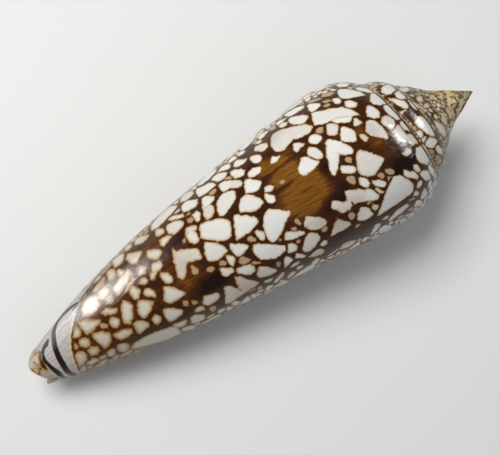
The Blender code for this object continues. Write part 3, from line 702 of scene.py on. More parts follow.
def seam(turn):
    """Depth and radius of the seam where the whorl at this turn joins the one before."""
    depth = SEAM_DEPTH * WHORL_GROWTH ** turn
    groove = SEAM_GROOVE * ease(depth, GROOVE_DEPTHS) * (1 - ease(turn, GROOVE_END))
    return depth, spire_radius(depth) - groove


def band_point(turn, v):
    """Depth and radius on the band between a seam (v = 0) and the next one (v = 1)."""
    top, top_radius = seam(turn)
    bottom, bottom_radius = seam(turn + 1)
    fall, spread = bottom - top, bottom_radius - top_radius
    bulge = OLD_BULGE + (EARLY_BULGE - OLD_BULGE) * ease(turn, OLD_TURNS)
    bulge = bulge + (WHORL_BULGE - EARLY_BULGE) * ease(turn, EARLY_TURNS)
    bulge = 4 * v * (1 - v) * bulge * ease(top, (0.0, BULGE_DEPTH))
    width = np.hypot(fall, spread)
    ridge = np.exp(-((v * width - RIDGE_BELOW_SEAM) / RIDGE_HALF_WIDTH) ** 2) * RIDGE_HEIGHT / width
    bulge = bulge + ridge * ease(top, RIDGE_DEPTHS)
    return top + v * fall - bulge * spread, top_radius + v * spread + bulge * fall


def whorl_radius(turn, depth):
    """Radius of a whorl's long side at a depth below its band."""
    start, start_radius = seam(turn + 1)
    w = np.clip((depth - start) / (LENGTH - start), 0.0, 1.0)
    crown_start, crown_radius = BODY_PROFILE[0]
    growth = WHORL_GROWTH ** (turn * (1 + (CANAL_GROWTH - 1) * w))
    fit = start_radius / (crown_radius * WHORL_GROWTH ** turn)
    fit = fit + (1 - fit) * ease(w, (0.0, BAND_FIT))
    return growth * fit * body_radius(crown_start + w * (LENGTH - crown_start))


def end_depth(turn):
    """Depth of the front rim, with its knob, its hook and the notch between them."""
    depth = END_DEPTH
    for height, centre, width in (KNOB, HOOK, NOTCH):
        depth += height * math.exp(-((turn - centre) / width) ** 2)
    return depth


def lip_sweep(depth):
    """How far, in turns, a growth line lags behind its middle at this depth."""
    at_seam = SWEEP_AT_SEAM * (1 - ease(depth, SWEEP_SEAM_END))
    at_front = SWEEP_AT_FRONT * ease(depth, SWEEP_FRONT)
    return (at_seam + at_front) * ease(depth, SWEEP_START)


def place(turn, depth, radius):
    """Points in the shell's own frame: apex near the origin, front end towards -X, back up."""
    angle = 2 * math.pi * (turn + lip_sweep(depth))
    lean = SEAM_LEAN * radius * np.sin(angle) * (1 - ease(depth, (SEAM_DEPTH, LEAN_END)))
    side = radius * np.sin(angle) + spire_bend(np.minimum(depth, SPIRE_BEND[-1][0]))
    return np.stack([-(depth + lean), side, radius * np.cos(angle)], axis=-1) * MM


def body_column(turn):
    """Depth and radius of points from the lower edge of the band to the rounded front rim."""
    start = float(seam(turn + 1)[0])
    shortening = LENGTH - end_depth(turn) + RIM_ROUND
    row = np.arange(1, BODY_ROWS + 1) / BODY_ROWS
    depth = start + row ** ROW_CROWDING * (LENGTH - start)
    depth = depth - shortening * ease(depth, (LENGTH - END_TRIM, LENGTH))
    radius = whorl_radius(turn, depth)
    rim = np.array(RIM_STEPS) * RIM_ROUND
    drop = RIM_ROUND - np.sqrt(np.maximum(RIM_ROUND ** 2 - rim ** 2, 0.0))
    return np.append(depth, depth[-1] + rim), np.append(radius, radius[-1] - drop)


def join_rows(bm, left, right):
    """Fills between two rows of vertices of the same length."""
    for i in range(len(left) - 1):
        bm.faces.new((left[i], left[i + 1], right[i + 1], right[i]))


def fan(bm, pivot, edge):
    """Fills from one vertex to each side of an edge line."""
    for near, far in zip(edge, edge[1:]):
        bm.faces.new((pivot, near, far))


def zip_rows(bm, left, right):
    """Fills between two rows of vertices that run down the shell from a shared first one."""
    i = j = 0
    while i < len(left) - 1 or j < len(right) - 1:
        on_left = j == len(right) - 1
        if not on_left and i < len(left) - 1:
            on_left = left[i + 1].co.x > right[j + 1].co.x
        corners = (left[i], left[i + 1], right[j]) if on_left else (left[i], right[j + 1], right[j])
        if on_left:
            i += 1
        else:
            j += 1
        if len(set(corners)) == 3:
            bm.faces.new(corners)


def column_turns():
    """Turns of every column from the first turn of the spire to the lip."""
    runs = [np.linspace(start, end, count, endpoint=False) for start, end, count in COLUMN_RUNS]
    one_turn = np.concatenate(runs)
    turns = [one_turn - back for back in range(SPIRE_TURNS - 1, -1, -1)]
    return np.append(np.concatenate(turns), LIP_TURN)


class Surface:
    """A bmesh whose vertices remember their turn and depth."""

    def __init__(self):
        self.bm = bmesh.new()
        self.turn = self.bm.verts.layers.float.new("turn")
        self.depth = self.bm.verts.layers.float.new("depth")

    def points(self, turn, depth, radius):
        """Adds vertices at these depths and radii, all on one turn."""
        made = []
        depth = np.atleast_1d(depth)
        for co, d in zip(place(turn, depth, np.atleast_1d(radius)), depth):
            vertex = self.bm.verts.new(co)
            vertex[self.turn] = turn
            vertex[self.depth] = d
            made.append(vertex)
        return made


def outer_form():
    """Closed spiral solid of the whole shell, with a step where the lip stands over the body."""
    surface = Surface()
    bm = surface.bm
    turns = column_turns()
    seams = [surface.points(turn, *seam(turn))[0] for turn in turns]
    last_edge = [surface.points(turn, *seam(turn + 1))[0] for turn in turns[-COLUMNS:]]
    bands = []
    for turn, top, bottom in zip(turns, seams, seams[COLUMNS:] + last_edge):
        rows = BAND_ROWS if turn > LIP_TURN - BAND_TURNS else SPIRE_ROWS
        inner = surface.points(turn, *band_point(turn, (np.arange(1, rows) / rows) ** BAND_CROWDING))
        bands.append([top] + inner + [bottom])
    for left, right in zip(bands, bands[1:]):
        if len(left) == len(right):
            join_rows(bm, left, right)
        else:
            zip_rows(bm, left, right)
    body = []
    for turn, band in zip(turns[-COLUMNS - 1:], bands[-COLUMNS - 1:]):
        body.append([band[-1]] + surface.points(turn, *body_column(turn)))
    for left, right in zip(body, body[1:]):
        join_rows(bm, left, right)
    zip_rows(bm, bands[-1] + body[-1][1:], body[0])
    apex = surface.points(0.0, 0.0, 0.0)[0]
    first_turn = [column[0] for column in bands[:COLUMNS]]
    fan(bm, apex, first_turn)
    fan(bm, first_turn[-1], bands[0][::-1] + [apex])
    rim = [column[-1] for column in body]
    fan(bm, surface.points(0.0, CAP_DEPTH, 0.0)[0], rim + rim[:1])
    bmesh.ops.recalc_face_normals(bm, faces=bm.faces)
    return bm


def chamber_section(surface, turn):
    """Closed outline of the chamber in a plane through the axis, down its outside and back up."""
    behind = LIP_TURN - turn
    inside = ease(behind, (0.0, LIP_WALL_TURNS))
    closing = ease(behind, CHAMBER_CLOSING)
    bottom = CHAMBER_EXIT + (CHAMBER_FLOOR - CHAMBER_EXIT) * ease(behind, CANAL_OPEN_TURNS)
    grown = WALL + (BACK_WALL - WALL) * ease(behind, (0.0, CHAMBER_TURNS))
    wall = LIP_WALL + (grown - LIP_WALL) * inside
    v = np.array(CHAMBER_TOP)
    depth, radius = band_point(turn, v)
    depth = depth + wall * (TOP_DROP[0] + TOP_DROP[1] * v)
    radius = radius - wall * (TOP_INSET[0] + TOP_INSET[1] * v)
    start = depth[-1] + CHAMBER_GAP
    below = start + (bottom - start) * np.arange(1, CHAMBER_ROWS + 1) / CHAMBER_ROWS
    thickness = wall + (FRONT_WALL - wall) * ease(below, FRONT_WALL_DEPTHS)
    depth = np.append(depth, below)
    radius = np.append(radius, whorl_radius(turn, below) - thickness)
    cut = PARIETAL_CUT * (1 - inside) - MOUTH_RISE * ease(-behind, (0.0, MOUTH_TURNS))
    highest = radius - CHAMBER_GAP
    floor = np.minimum(whorl_radius(turn - 1, depth) - cut, highest)
    floor = floor + closing * (highest - floor)
    return surface.points(turn, np.append(depth, depth[::-1]), np.append(radius, floor[::-1]))


def chamber_form():
    """Closed spiral solid of the space that the animal lived in, reaching out of the aperture."""
    surface = Surface()
    bm = surface.bm
    first = LIP_TURN - CHAMBER_TURNS
    span = CHAMBER_TURNS + MOUTH_TURNS
    rings = []
    for i in range(CHAMBER_COLUMNS + 1):
        rings.append(chamber_section(surface, first + span * i / CHAMBER_COLUMNS))
    for left, right in zip(rings, rings[1:]):
        join_rows(bm, left + left[:1], right + right[:1])
    half = len(rings[0]) // 2
    for ring in (rings[0], rings[-1]):
        join_rows(bm, ring[:half], ring[:half - 1:-1])
    bmesh.ops.recalc_face_normals(bm, faces=bm.faces)
    return bm


def make_object(name, bm):
    """Makes an object from a bmesh."""
    mesh = bpy.data.meshes.new(name)
    bm.to_mesh(mesh)
    bm.free()
    obj = bpy.data.objects.new(name, mesh)
    bpy.context.scene.collection.objects.link(obj)
    return obj


def resting_place():
    """Matrix from the shell's own frame to the row's, which puts the apex where the frame has it."""
    turned = Euler((math.radians(REST_ROLL), math.radians(REST_PITCH), 0.0), "XYZ").to_matrix().to_4x4()
    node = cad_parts["shell"]
    apex = max((vertex.co for vertex in node.data.vertices), key=lambda co: co.x)
    own_apex = Vector(place(0.0, 0.0, 0.0))
    return Matrix.Translation(apex - turned @ own_apex) @ turned


def build_shell():
    """Builds the shell with its chamber cut out, in the row's frame."""
    shell = make_object("shell_dressed", outer_form())
    chamber = make_object("chamber", chamber_form())
    for obj, side in ((shell, "outer"), (chamber, "inner")):
        obj.data.materials.append(bpy.data.materials.new(side))
    cut = shell.modifiers.new("chamber", "BOOLEAN")
    cut.operation = "DIFFERENCE"
    cut.solver = "EXACT"
    cut.object = chamber
    cut.material_mode = "TRANSFER"
    bpy.context.view_layer.update()
    evaluated = shell.evaluated_get(bpy.context.evaluated_depsgraph_get())
    mesh = bpy.data.meshes.new_from_object(evaluated)
    shell.modifiers.clear()
    shell.data = mesh
    bpy.data.objects.remove(chamber)
    mesh.transform(resting_place())
    return shell


def camera_matrix(resting):
    """Where the photograph was taken from, in the row's frame."""
    aim = Vector((*CAMERA_AIM, CAMERA_DISTANCE)) * MM
    return resting @ Matrix.Translation(aim) @ Matrix.Rotation(math.radians(-CAMERA_TURN), 4, "Z")


def set_camera(resting):
    """Looks at the shell as the photograph does."""
    data = bpy.data.cameras.new("camera")
    data.sensor_width = SENSOR_WIDTH
    data.lens = FOCAL_PIXELS / PHOTO_WIDTH * SENSOR_WIDTH
    data.clip_start, data.clip_end = CLIP_METRES
    camera = bpy.data.objects.new("camera", data)
    bpy.context.scene.collection.objects.link(camera)
    camera.matrix_world = camera_matrix(resting)
    bpy.context.scene.camera = camera


def soft_light(name, start, end, size_mm, power, colour, is_glint=False):
    """A soft rectangular lamp at one place that faces another: a glint shows in the gloss alone."""
    data = bpy.data.lights.new(name, "AREA")
    data.shape = "RECTANGLE"
    data.size, data.size_y = (side * MM for side in size_mm)
    data.energy = power
    data.color = colour
    lamp = bpy.data.objects.new(name, data)
    bpy.context.scene.collection.objects.link(lamp)
    lamp.matrix_world = Matrix.Translation(start) @ (end - start).to_track_quat("-Z", "Y").to_matrix().to_4x4()
    lamp.visible_glossy = is_glint
    lamp.visible_diffuse = not is_glint


def mesh_tree(mesh):
    """Tree of the mesh's faces, to find where rays hit them."""
    return BVHTree.FromPolygons(
        [vertex.co for vertex in mesh.vertices], [tuple(face.vertices) for face in mesh.polygons]
    )


def glint(name, shell, resting, across, along, distance_mm, size_mm, power):
    """A small lamp whose reflection is seen at a point of the photograph."""
    start, direction = photo_ray(resting, across, along)
    hit, _, face, _ = mesh_tree(shell.data).ray_cast(start, direction)
    corners = [shell.data.vertices[i].normal for i in shell.data.polygons[face].vertices]
    normal = sum(corners, Vector()).normalized()
    away = direction.reflect(normal)
    soft_light(name, hit + away * distance_mm * MM, hit, size_mm, power, GLINT_COLOUR, True)


def make_floor():
    """Plain pale floor that the shell lies on."""
    mesh = bpy.data.meshes.new("floor")
    half = FLOOR_HALF_METRES
    corners = [(-half, -half, 0), (half, -half, 0), (half, half, 0), (-half, half, 0)]
    mesh.from_pydata(corners, [], [(0, 1, 2, 3)])
    floor = bpy.data.objects.new("floor", mesh)
    bpy.context.scene.collection.objects.link(floor)
    material = bpy.data.materials.new("floor")
    material.use_nodes = True
    shader = material.node_tree.nodes["Principled BSDF"]
    shader.inputs["Base Color"].default_value = FLOOR_COLOUR
    shader.inputs["Roughness"].default_value = FLOOR_ROUGHNESS
    floor.data.materials.append(material)


def photo_ray(resting, across, along):
    """Start and direction, in the row's frame, of the camera's ray through a point of the photograph."""
    up = APEX_PIXELS - along
    aside = AXIS_PIXELS + across
    x = up * UP_DIRECTION[0] - aside * UP_DIRECTION[1] - PHOTO_WIDTH / 2
    y = up * UP_DIRECTION[1] + aside * UP_DIRECTION[0] - PHOTO_HEIGHT / 2
    camera = camera_matrix(resting)
    direction = camera.to_3x3() @ Vector((x, -y, -FOCAL_PIXELS))
    return camera.translation, direction.normalized()


def read_vectors(mesh, name):
    """Three numbers per vertex of the mesh, a row for each."""
    values = np.empty(len(mesh.vertices) * 3)
    mesh.vertices.foreach_get(name, values)
    return values.reshape(-1, 3)


def read_attribute(mesh, name):
    """One number per vertex that the mesh keeps under a name."""
    values = np.empty(len(mesh.vertices))
    mesh.attributes[name].data.foreach_get("value", values)
    return values


def write_attribute(mesh, name, values):
    """Keeps three numbers per vertex on the mesh."""
    layer = mesh.attributes.new(name, "FLOAT_VECTOR", "POINT")
    layer.data.foreach_set("vector", np.ascontiguousarray(values, dtype=np.float32).ravel())


def outer_vertices(mesh):
    """True for vertices that no face of the chamber touches."""
    outer = np.ones(len(mesh.vertices), dtype=bool)
    for face in mesh.polygons:
        if face.material_index:
            outer[list(face.vertices)] = False
    return outer


class Skin:
    """The shell's outer surface, as the places, normals and neighbourhoods that the pattern needs."""

    def __init__(self, mesh, resting):
        self.co = read_vectors(mesh, "co") / MM
        self.normal = read_vectors(mesh, "normal")
        self.turn = read_attribute(mesh, "turn")
        self.depth = read_attribute(mesh, "depth")
        self.outer = outer_vertices(mesh)
        self.resting = resting
        to_camera = np.array(camera_matrix(resting).translation) / MM - self.co
        to_camera /= np.linalg.norm(to_camera, axis=1)[:, None]
        self.seen = (to_camera * self.normal).sum(axis=1) > SEEN_TILT
        self.tree = mesh_tree(mesh)
        bins = {}
        for index, key in enumerate(map(tuple, np.floor(self.co / BIN).astype(int))):
            bins.setdefault(key, []).append(index)
        self.bins = {key: np.array(found) for key, found in bins.items()}

    def near(self, centre, radius):
        """Indices of the vertices within a radius of a place, both in millimetres."""
        low = np.floor((centre - radius) / BIN).astype(int)
        high = np.floor((centre + radius) / BIN).astype(int)
        keys = itertools.product(*(range(start, end + 1) for start, end in zip(low, high)))
        found = [self.bins[key] for key in keys if key in self.bins]
        if not found:
            return np.empty(0, dtype=int)
        found = np.concatenate(found)
        return found[np.linalg.norm(self.co[found] - centre, axis=1) < radius]

    def on_back(self, across, along):
        """Place in millimetres and normal at a point of the photograph, or None twice off the shell.

        Past the outline, the place runs on round the side.
        """
        shift = 0.0
        while True:
            start, direction = photo_ray(self.resting, across + shift, along)
            hit, normal, _, _ = self.tree.ray_cast(start, direction)
            if hit is not None or abs(shift) > OUTLINE_REACH:
                break
            shift -= math.copysign(OUTLINE_STEP, across)
        if hit is None:
            return None, None
        normal = np.array(normal)
        place_mm = np.array(hit) / MM
        if shift:
            side = np.array(self.resting.to_3x3() @ Vector((0.0, math.copysign(1.0, -across), 0.0)))
            side -= normal * (side @ normal)
            place_mm = place_mm + side / np.linalg.norm(side) * abs(shift) * OUTLINE_STRETCH
        return place_mm, normal


def plane_axes(normal):
    """Two directions at right angles in the plane across a normal."""
    first = np.cross(normal, (0.0, 0.0, 1.0) if abs(normal[2]) < NEARLY_UPRIGHT else (1.0, 0.0, 0.0))
    first /= np.linalg.norm(first)
    return first, np.cross(normal, first)


def flatten(points, axes):
    """Points as seen in a plane, along its two directions."""
    return np.stack([points @ axes[0], points @ axes[1]], axis=-1)


def corner_planes(flat):
    """Outward directions and offsets of the sides of a polygon through flat corners."""
    middle = flat.mean(axis=0)
    order = np.argsort(np.arctan2(*(flat - middle).T[::-1]))
    flat = flat[order]
    sides = np.roll(flat, -1, axis=0) - flat
    outward = np.stack([sides[:, 1], -sides[:, 0]], axis=1)
    outward /= np.linalg.norm(outward, axis=1)[:, None] + TINY
    return outward, (outward * flat).sum(axis=1)


def inside_distance(flat, outward, offsets):
    """How far points lie inside a set of sides, in millimetres, with rounded corners."""
    over = (flat @ outward.T - offsets) / CORNER_ROUND
    top = over.max(axis=1)
    return -CORNER_ROUND * (top + np.log(np.exp(over - top[:, None]).sum(axis=1)))


class Pattern:
    """Distance fields of the tents: tents that nearly touch are kept in different channels."""

    def __init__(self, skin):
        count = len(skin.co)
        self.skin = skin
        self.channels = np.full((count, CHANNELS), -FAR)
        self.tone = np.zeros(count)
        self.best = np.full(count, -FAR)
        self.placed = []

    def choose_channel(self, centre, radius, near, depth):
        """Channel of a tent that this one runs into, or else the one whose nearest tent is furthest off."""
        if len(near):
            shared = np.minimum(self.channels[near], depth[:, None]).max(axis=0)
            if shared.max() > JOINED_DEPTH:
                return int(np.argmax(shared))
        gaps = np.full(CHANNELS, np.inf)
        for other, other_radius, channel in self.placed:
            gap = np.linalg.norm(other - centre) - radius - other_radius
            gaps[channel] = min(gaps[channel], gap)
        return int(np.argmax(gaps))

    def add(self, centre, normal, outward, offsets, radius, tone):
        """Adds one tent, whose sides are given in the plane across its normal."""
        near = self.skin.near(centre, radius + FAR)
        near = near[self.skin.normal[near] @ normal > TENT_FACING]
        away = self.skin.co[near] - centre
        depth = inside_distance(flatten(away, plane_axes(normal)), outward, offsets)
        depth = np.where(np.abs(away @ normal) > TENT_CURVE * radius + TENT_SLACK, -FAR, depth)
        channel = self.choose_channel(centre, radius, near, depth)
        self.placed.append((centre, radius, channel))
        self.channels[near, channel] = np.maximum(self.channels[near, channel], depth)
        closer = depth > self.best[near]
        self.best[near[closer]] = depth[closer]
        self.tone[near[closer]] = tone

    def add_seen(self, corners, tone):
        """Adds a tent whose corners were read off the photograph."""
        pairs = np.array(corners, dtype=float).reshape(-1, 2)
        found = [self.skin.on_back(*pair) for pair in pairs]
        places = np.array([place_mm for place_mm, _ in found if place_mm is not None])
        normals = np.array([normal for place_mm, normal in found if place_mm is not None])
        if len(places) < 3:
            return
        centre = places.mean(axis=0)
        normal = normals.mean(axis=0)
        normal /= np.linalg.norm(normal)
        flat = flatten(places - centre, plane_axes(normal))
        outward, offsets = corner_planes(flat)
        radius = np.linalg.norm(flat, axis=1).max()
        self.add(centre, normal, outward, offsets + CORNER_ALLOWANCE, radius, tone)

    def has_room(self, index):
        """Whether a vertex of the hidden side or of the spire lies clear of the tents drawn so far."""
        skin = self.skin
        on_spire = skin.depth[index] < SPIRE_FILL_DEPTH
        return (
            skin.outer[index] and (on_spire or not skin.seen[index])
            and self.best[index] <= -(SPIRE_ROOM if on_spire else SIDE_ROOM)
            and UNSEEN_DEPTHS[0] < skin.depth[index] < UNSEEN_DEPTHS[1]
        )

    def unseen_sites(self, rng):
        """Middle, radius and normal of each tent that fills the hidden side."""
        skin = self.skin
        sites = []
        grid = {}
        by_place = np.lexsort(skin.co.T)
        for index in by_place[rng.permutation(len(by_place))]:
            if not self.has_room(index):
                continue
            radius = tent_radius(rng, skin.depth[index])
            if self.best[index] > -radius * ROOM_PER_RADIUS:
                continue
            centre = skin.co[index]
            key = tuple(np.floor(centre / SITE_BIN).astype(int))
            keys = itertools.product(*((k - 1, k, k + 1) for k in key))
            others = itertools.chain.from_iterable(grid.get(near_key, ()) for near_key in keys)
            if any(np.linalg.norm(other - centre) < SITE_SPACING * (radius + wide) for other, wide, _ in others):
                continue
            site = (centre, radius, skin.normal[index])
            grid.setdefault(key, []).append(site)
            sites.append(site)
        return sites


def tent_radius(rng, depth):
    """Half the width of a tent of the hidden side, in millimetres; smaller at both ends of the shell."""
    size = rng.choice(TENT_SIZES, p=TENT_SIZE_SHARES)
    on_spire = SPIRE_SHRINK + (1 - SPIRE_SHRINK) * float(ease(depth, SPIRE_SHRINK_DEPTHS))
    at_front = FRONT_SHRINK + (1 - FRONT_SHRINK) * float(ease(-depth, FRONT_SHRINK_HEIGHTS))
    return size * on_spire * at_front


def sides_to_others(axes, away, radius, radii, gap):
    """Sides of a tent towards the other hidden tents round it, with a line's width between."""
    sides = []
    reach = np.linalg.norm(away, axis=1)
    for other in np.nonzero((reach < OTHERS_REACH * (radius + radii)) & (reach > NO_LENGTH))[0]:
        flat = flatten(away[other], axes)
        length = np.linalg.norm(flat)
        if length >= NO_LENGTH:
            sides.append((flat / length, length * radius / (radius + radii[other]) - gap))
    return sides


def own_sides(rng, axes, radius):
    """Three sides of a tent's own, about a third of a turn apart, which point it one way."""
    lean = math.atan2(axes[1][0], axes[0][0]) + rng.normal(0.0, LEAN_SPREAD)
    squeeze = rng.uniform(*SQUEEZE)
    sides = []
    for corner in range(3):
        angle = lean + math.pi + corner * 2 * math.pi / 3 + rng.normal(0.0, CORNER_SPREAD)
        outward = np.array([math.cos(angle), math.sin(angle)])
        sides.append((outward, radius * squeeze * rng.uniform(*SIDE_SPREAD)))
    return sides


def sides_to_seen(skin, taken, centre, axes):
    """Sides of a tent towards the nearest vertex, in each direction, that a seen tent covers."""
    sides = []
    flat = flatten(skin.co[taken] - centre, axes)
    sectors = np.floor(np.arctan2(flat[:, 1], flat[:, 0]) / SECTOR).astype(int)
    for sector in np.unique(sectors):
        chosen = flat[sectors == sector]
        closest = chosen[np.argmin(np.linalg.norm(chosen, axis=1))]
        length = np.linalg.norm(closest)
        if length > HAIR:
            sides.append((closest / length, length - SEEN_GAP))
    return sides


def fill_unseen(pattern, rng):
    """Adds the hidden tents: each is cut back from its neighbours and has three sides of its own."""
    skin = pattern.skin
    sites = pattern.unseen_sites(rng)
    centres = np.array([centre for centre, _, _ in sites])
    radii = np.array([radius for _, radius, _ in sites])
    field = pattern.best.copy()
    for centre, radius, normal in sites:
        axes = plane_axes(normal)
        gap = rng.choice(GAPS, p=GAP_SHARES)
        sides = sides_to_others(axes, centres - centre, radius, radii, gap)
        sides += own_sides(rng, axes, radius)
        near = skin.near(centre, SEEN_REACH * radius + SEEN_SLACK)
        taken = near[(field[near] > -SEEN_EDGE) & (skin.normal[near] @ normal > SEEN_FACING)]
        if len(taken):
            sides += sides_to_seen(skin, taken, centre, axes)
        tone = TAN_TONE if rng.random() < HIDDEN_TAN_SHARE else 0.0
        outward = np.array([direction for direction, _ in sides])
        offsets = np.array([offset for _, offset in sides])
        pattern.add(centre, normal, outward, offsets, TENT_REACH * radius, tone)


def stroke_distance(points, places, radii):
    """How far points lie inside a round stroke of changing width through some places."""
    best = np.full(len(points), -FAR)
    for start, end, start_radius, end_radius in zip(places, places[1:], radii, radii[1:]):
        along = end - start
        t = np.clip((points - start) @ along / max(along @ along, TINY), 0.0, 1.0)
        gap = np.linalg.norm(points - start - t[:, None] * along, axis=1)
        best = np.maximum(best, start_radius + t * (end_radius - start_radius) - gap)
    return best


def draw_strokes(skin, strokes):
    """Greatest inside distance of the listed strokes, each a run of across, along and half width."""
    field = np.full(len(skin.co), -FAR)
    for stroke in strokes:
        places = []
        widths = []
        for across, along, width in np.array(stroke, dtype=float).reshape(-1, 3):
            place_mm, _ = skin.on_back(across, along)
            if place_mm is not None:
                places.append(place_mm)
                widths.append(width / PIXELS_PER_MM)
        field = np.maximum(field, stroke_distance(skin.co, np.array(places), np.array(widths)))
    return field


def blobs(skin, spots):
    """Sum of soft spots, each given by across, along, its two half sizes and its strength."""
    field = np.zeros(len(skin.co))
    down_shell = np.array(skin.resting.to_3x3() @ Vector((-1.0, 0.0, 0.0)))
    for across, along, half_width, half_length, strength in spots:
        place_mm, normal = skin.on_back(across, along)
        axis = down_shell - normal * (down_shell @ normal)
        axis /= np.linalg.norm(axis)
        away = skin.co - place_mm
        u = (away @ np.cross(normal, axis)) / (half_width / PIXELS_PER_MM)
        v = (away @ axis) / (half_length / PIXELS_PER_MM)
        w = (away @ normal) / SPOT_THICKNESS
        field += strength * np.exp(-(u * u + v * v + w * w) ** SPOT_EDGE)
    return field


def srgb(red, green, blue):
    """Linear colour from the usual 0 to 255 numbers."""
    def linear(value):
        value /= 255
        return value / 12.92 if value <= 0.04045 else ((value + 0.055) / 1.055) ** 2.4
    return (linear(red), linear(green), linear(blue), 1.0)


class Value:
    """A number or colour of the shader. Sums and products of such numbers add the nodes they need."""

    def __init__(self, nodes, socket):
        self.nodes = nodes
        self.socket = socket

    def __add__(self, other):
        return self.nodes.math("ADD", self, other)

    def __sub__(self, other):
        return self.nodes.math("SUBTRACT", self, other)

    def __rsub__(self, other):
        return self.nodes.math("SUBTRACT", other, self)

    def __mul__(self, other):
        return self.nodes.math("MULTIPLY", self, other)

    def __truediv__(self, other):
        return self.nodes.math("DIVIDE", self, other)

    __radd__ = __add__
    __rmul__ = __mul__


class Nodes:
    """Short ways to add and join shader nodes."""

    def __init__(self, tree):
        self.tree = tree

    def put(self, socket, value):
        """Links a value to a socket, or sets the socket to a plain number or a named colour."""
        if isinstance(value, Value):
            self.tree.links.new(value.socket, socket)
        elif isinstance(value, tuple):
            socket.default_value = srgb(*value)
        else:
            socket.default_value = value

    def math(self, operation, first, second):
        node = self.tree.nodes.new("ShaderNodeMath")
        node.operation = operation
        self.put(node.inputs[0], first)
        self.put(node.inputs[1], second)
        return Value(self, node.outputs[0])

    def rise(self, value, span):
        """0 at the start of a span, 1 at its end, smooth between."""
        node = self.tree.nodes.new("ShaderNodeMapRange")
        node.interpolation_type = "SMOOTHSTEP"
        self.put(node.inputs["Value"], value)
        node.inputs["From Min"].default_value, node.inputs["From Max"].default_value = span
        return Value(self, node.outputs["Result"])

    def mix(self, factor, first, second):
        """The first colour at factor 0, the second at 1."""
        node = self.tree.nodes.new("ShaderNodeMix")
        node.data_type = "RGBA"
        for index, value in ((0, factor), (6, first), (7, second)):
            self.put(node.inputs[index], value)
        return Value(self, node.outputs[2])

    def field(self, name):
        """The three numbers that the mesh keeps under a name."""
        node = self.tree.nodes.new("ShaderNodeAttribute")
        node.attribute_name = name
        split = self.tree.nodes.new("ShaderNodeSeparateXYZ")
        self.tree.links.new(node.outputs["Vector"], split.inputs[0])
        return [Value(self, socket) for socket in split.outputs]

    def position(self):
        """Place on the object, in metres."""
        return Value(self, self.tree.nodes.new("ShaderNodeTexCoord").outputs["Object"])

    def joined(self, x, y):
        """A place on a flat map."""
        node = self.tree.nodes.new("ShaderNodeCombineXYZ")
        self.put(node.inputs[0], x)
        self.put(node.inputs[1], y)
        return Value(self, node.outputs[0])

    def noise(self, vector, look):
        """Noise from 0 to 1, given by its scale, detail and roughness."""
        node = self.tree.nodes.new("ShaderNodeTexNoise")
        self.put(node.inputs["Vector"], vector)
        for name, number in zip(("Scale", "Detail", "Roughness"), look):
            node.inputs[name].default_value = number
        return Value(self, node.outputs[0])

    def bump(self, height, strength, distance):
        """A normal from a height."""
        node = self.tree.nodes.new("ShaderNodeBump")
        node.inputs["Strength"].default_value = strength
        node.inputs["Distance"].default_value = distance
        self.put(node.inputs["Height"], height)
        return Value(self, node.outputs[0])


def tent_depth(n, channels, wobble, fine):
    """How far a point lies inside its tent, with a wavy edge and a line kept between two tents."""
    tent, next_tent = channels[0], -FAR
    for channel in channels[1:]:
        next_tent = n.math("MAXIMUM", next_tent, n.math("MINIMUM", tent, channel))
        tent = n.math("MAXIMUM", tent, channel)
    between = (tent - next_tent) * 0.5 - LINE_HALF_WIDTH
    edge = tent + TENT_GROWTH + wobble * EDGE_WOBBLE
    return n.math("MINIMUM", edge, between + wobble * LINE_WOBBLE) + fine * FINE_WOBBLE


def brown_colour(n, tent, spots, creamy, fine_streaks):
    """The net's browns: golden and nearly black spots, streaks, and a lighter edge beside the tents."""
    brown = n.mix(n.rise(spots, (0.0, 0.45)), NET_BROWN, WARM_BROWN)
    brown = n.mix(n.rise(spots, (0.4, 0.95)), brown, GOLD_BROWN)
    brown = n.mix(n.rise(fine_streaks, (0.46, 0.62)) * 0.7, brown, STREAK_BROWN)
    brown = n.mix(n.rise(spots, (-0.1, -0.9)), brown, BLACK_BROWN)
    halo = n.rise(tent, (-0.28, -0.03)) * (0.25 + creamy * 0.5)
    return n.mix(halo, brown, HALO_BROWN)


def pale_colour(n, tent, tan_and_shade, creamy, pale_marks, fine_streaks):
    """The tents' colours: white with a cream rim, tents toned towards TAN, partly painted shade on the right
    side, and the greyer streaked front.
    """
    rim = 0.4 + creamy * 0.45
    cream = n.mix(creamy, CREAM, DULL_CREAM)
    white = n.mix(creamy, WHITE, DULL_WHITE)
    pale = n.mix(n.rise(tent / rim, (0.0, 1.0)), cream, white)
    # Towards TAN by the tone, which on the right side is partly painted shade.
    pale = n.mix(tan_and_shade * 0.85, pale, TAN)
    pale = n.mix(n.rise(fine_streaks, (0.52, 0.72)) * 0.12, pale, PALE_STREAK)
    front = 0.32 + n.rise(fine_streaks, (0.42, 0.6)) * 0.4
    return n.mix(n.rise(pale_marks, (0.0, 0.5)) * front, pale, FRONT_GREY)


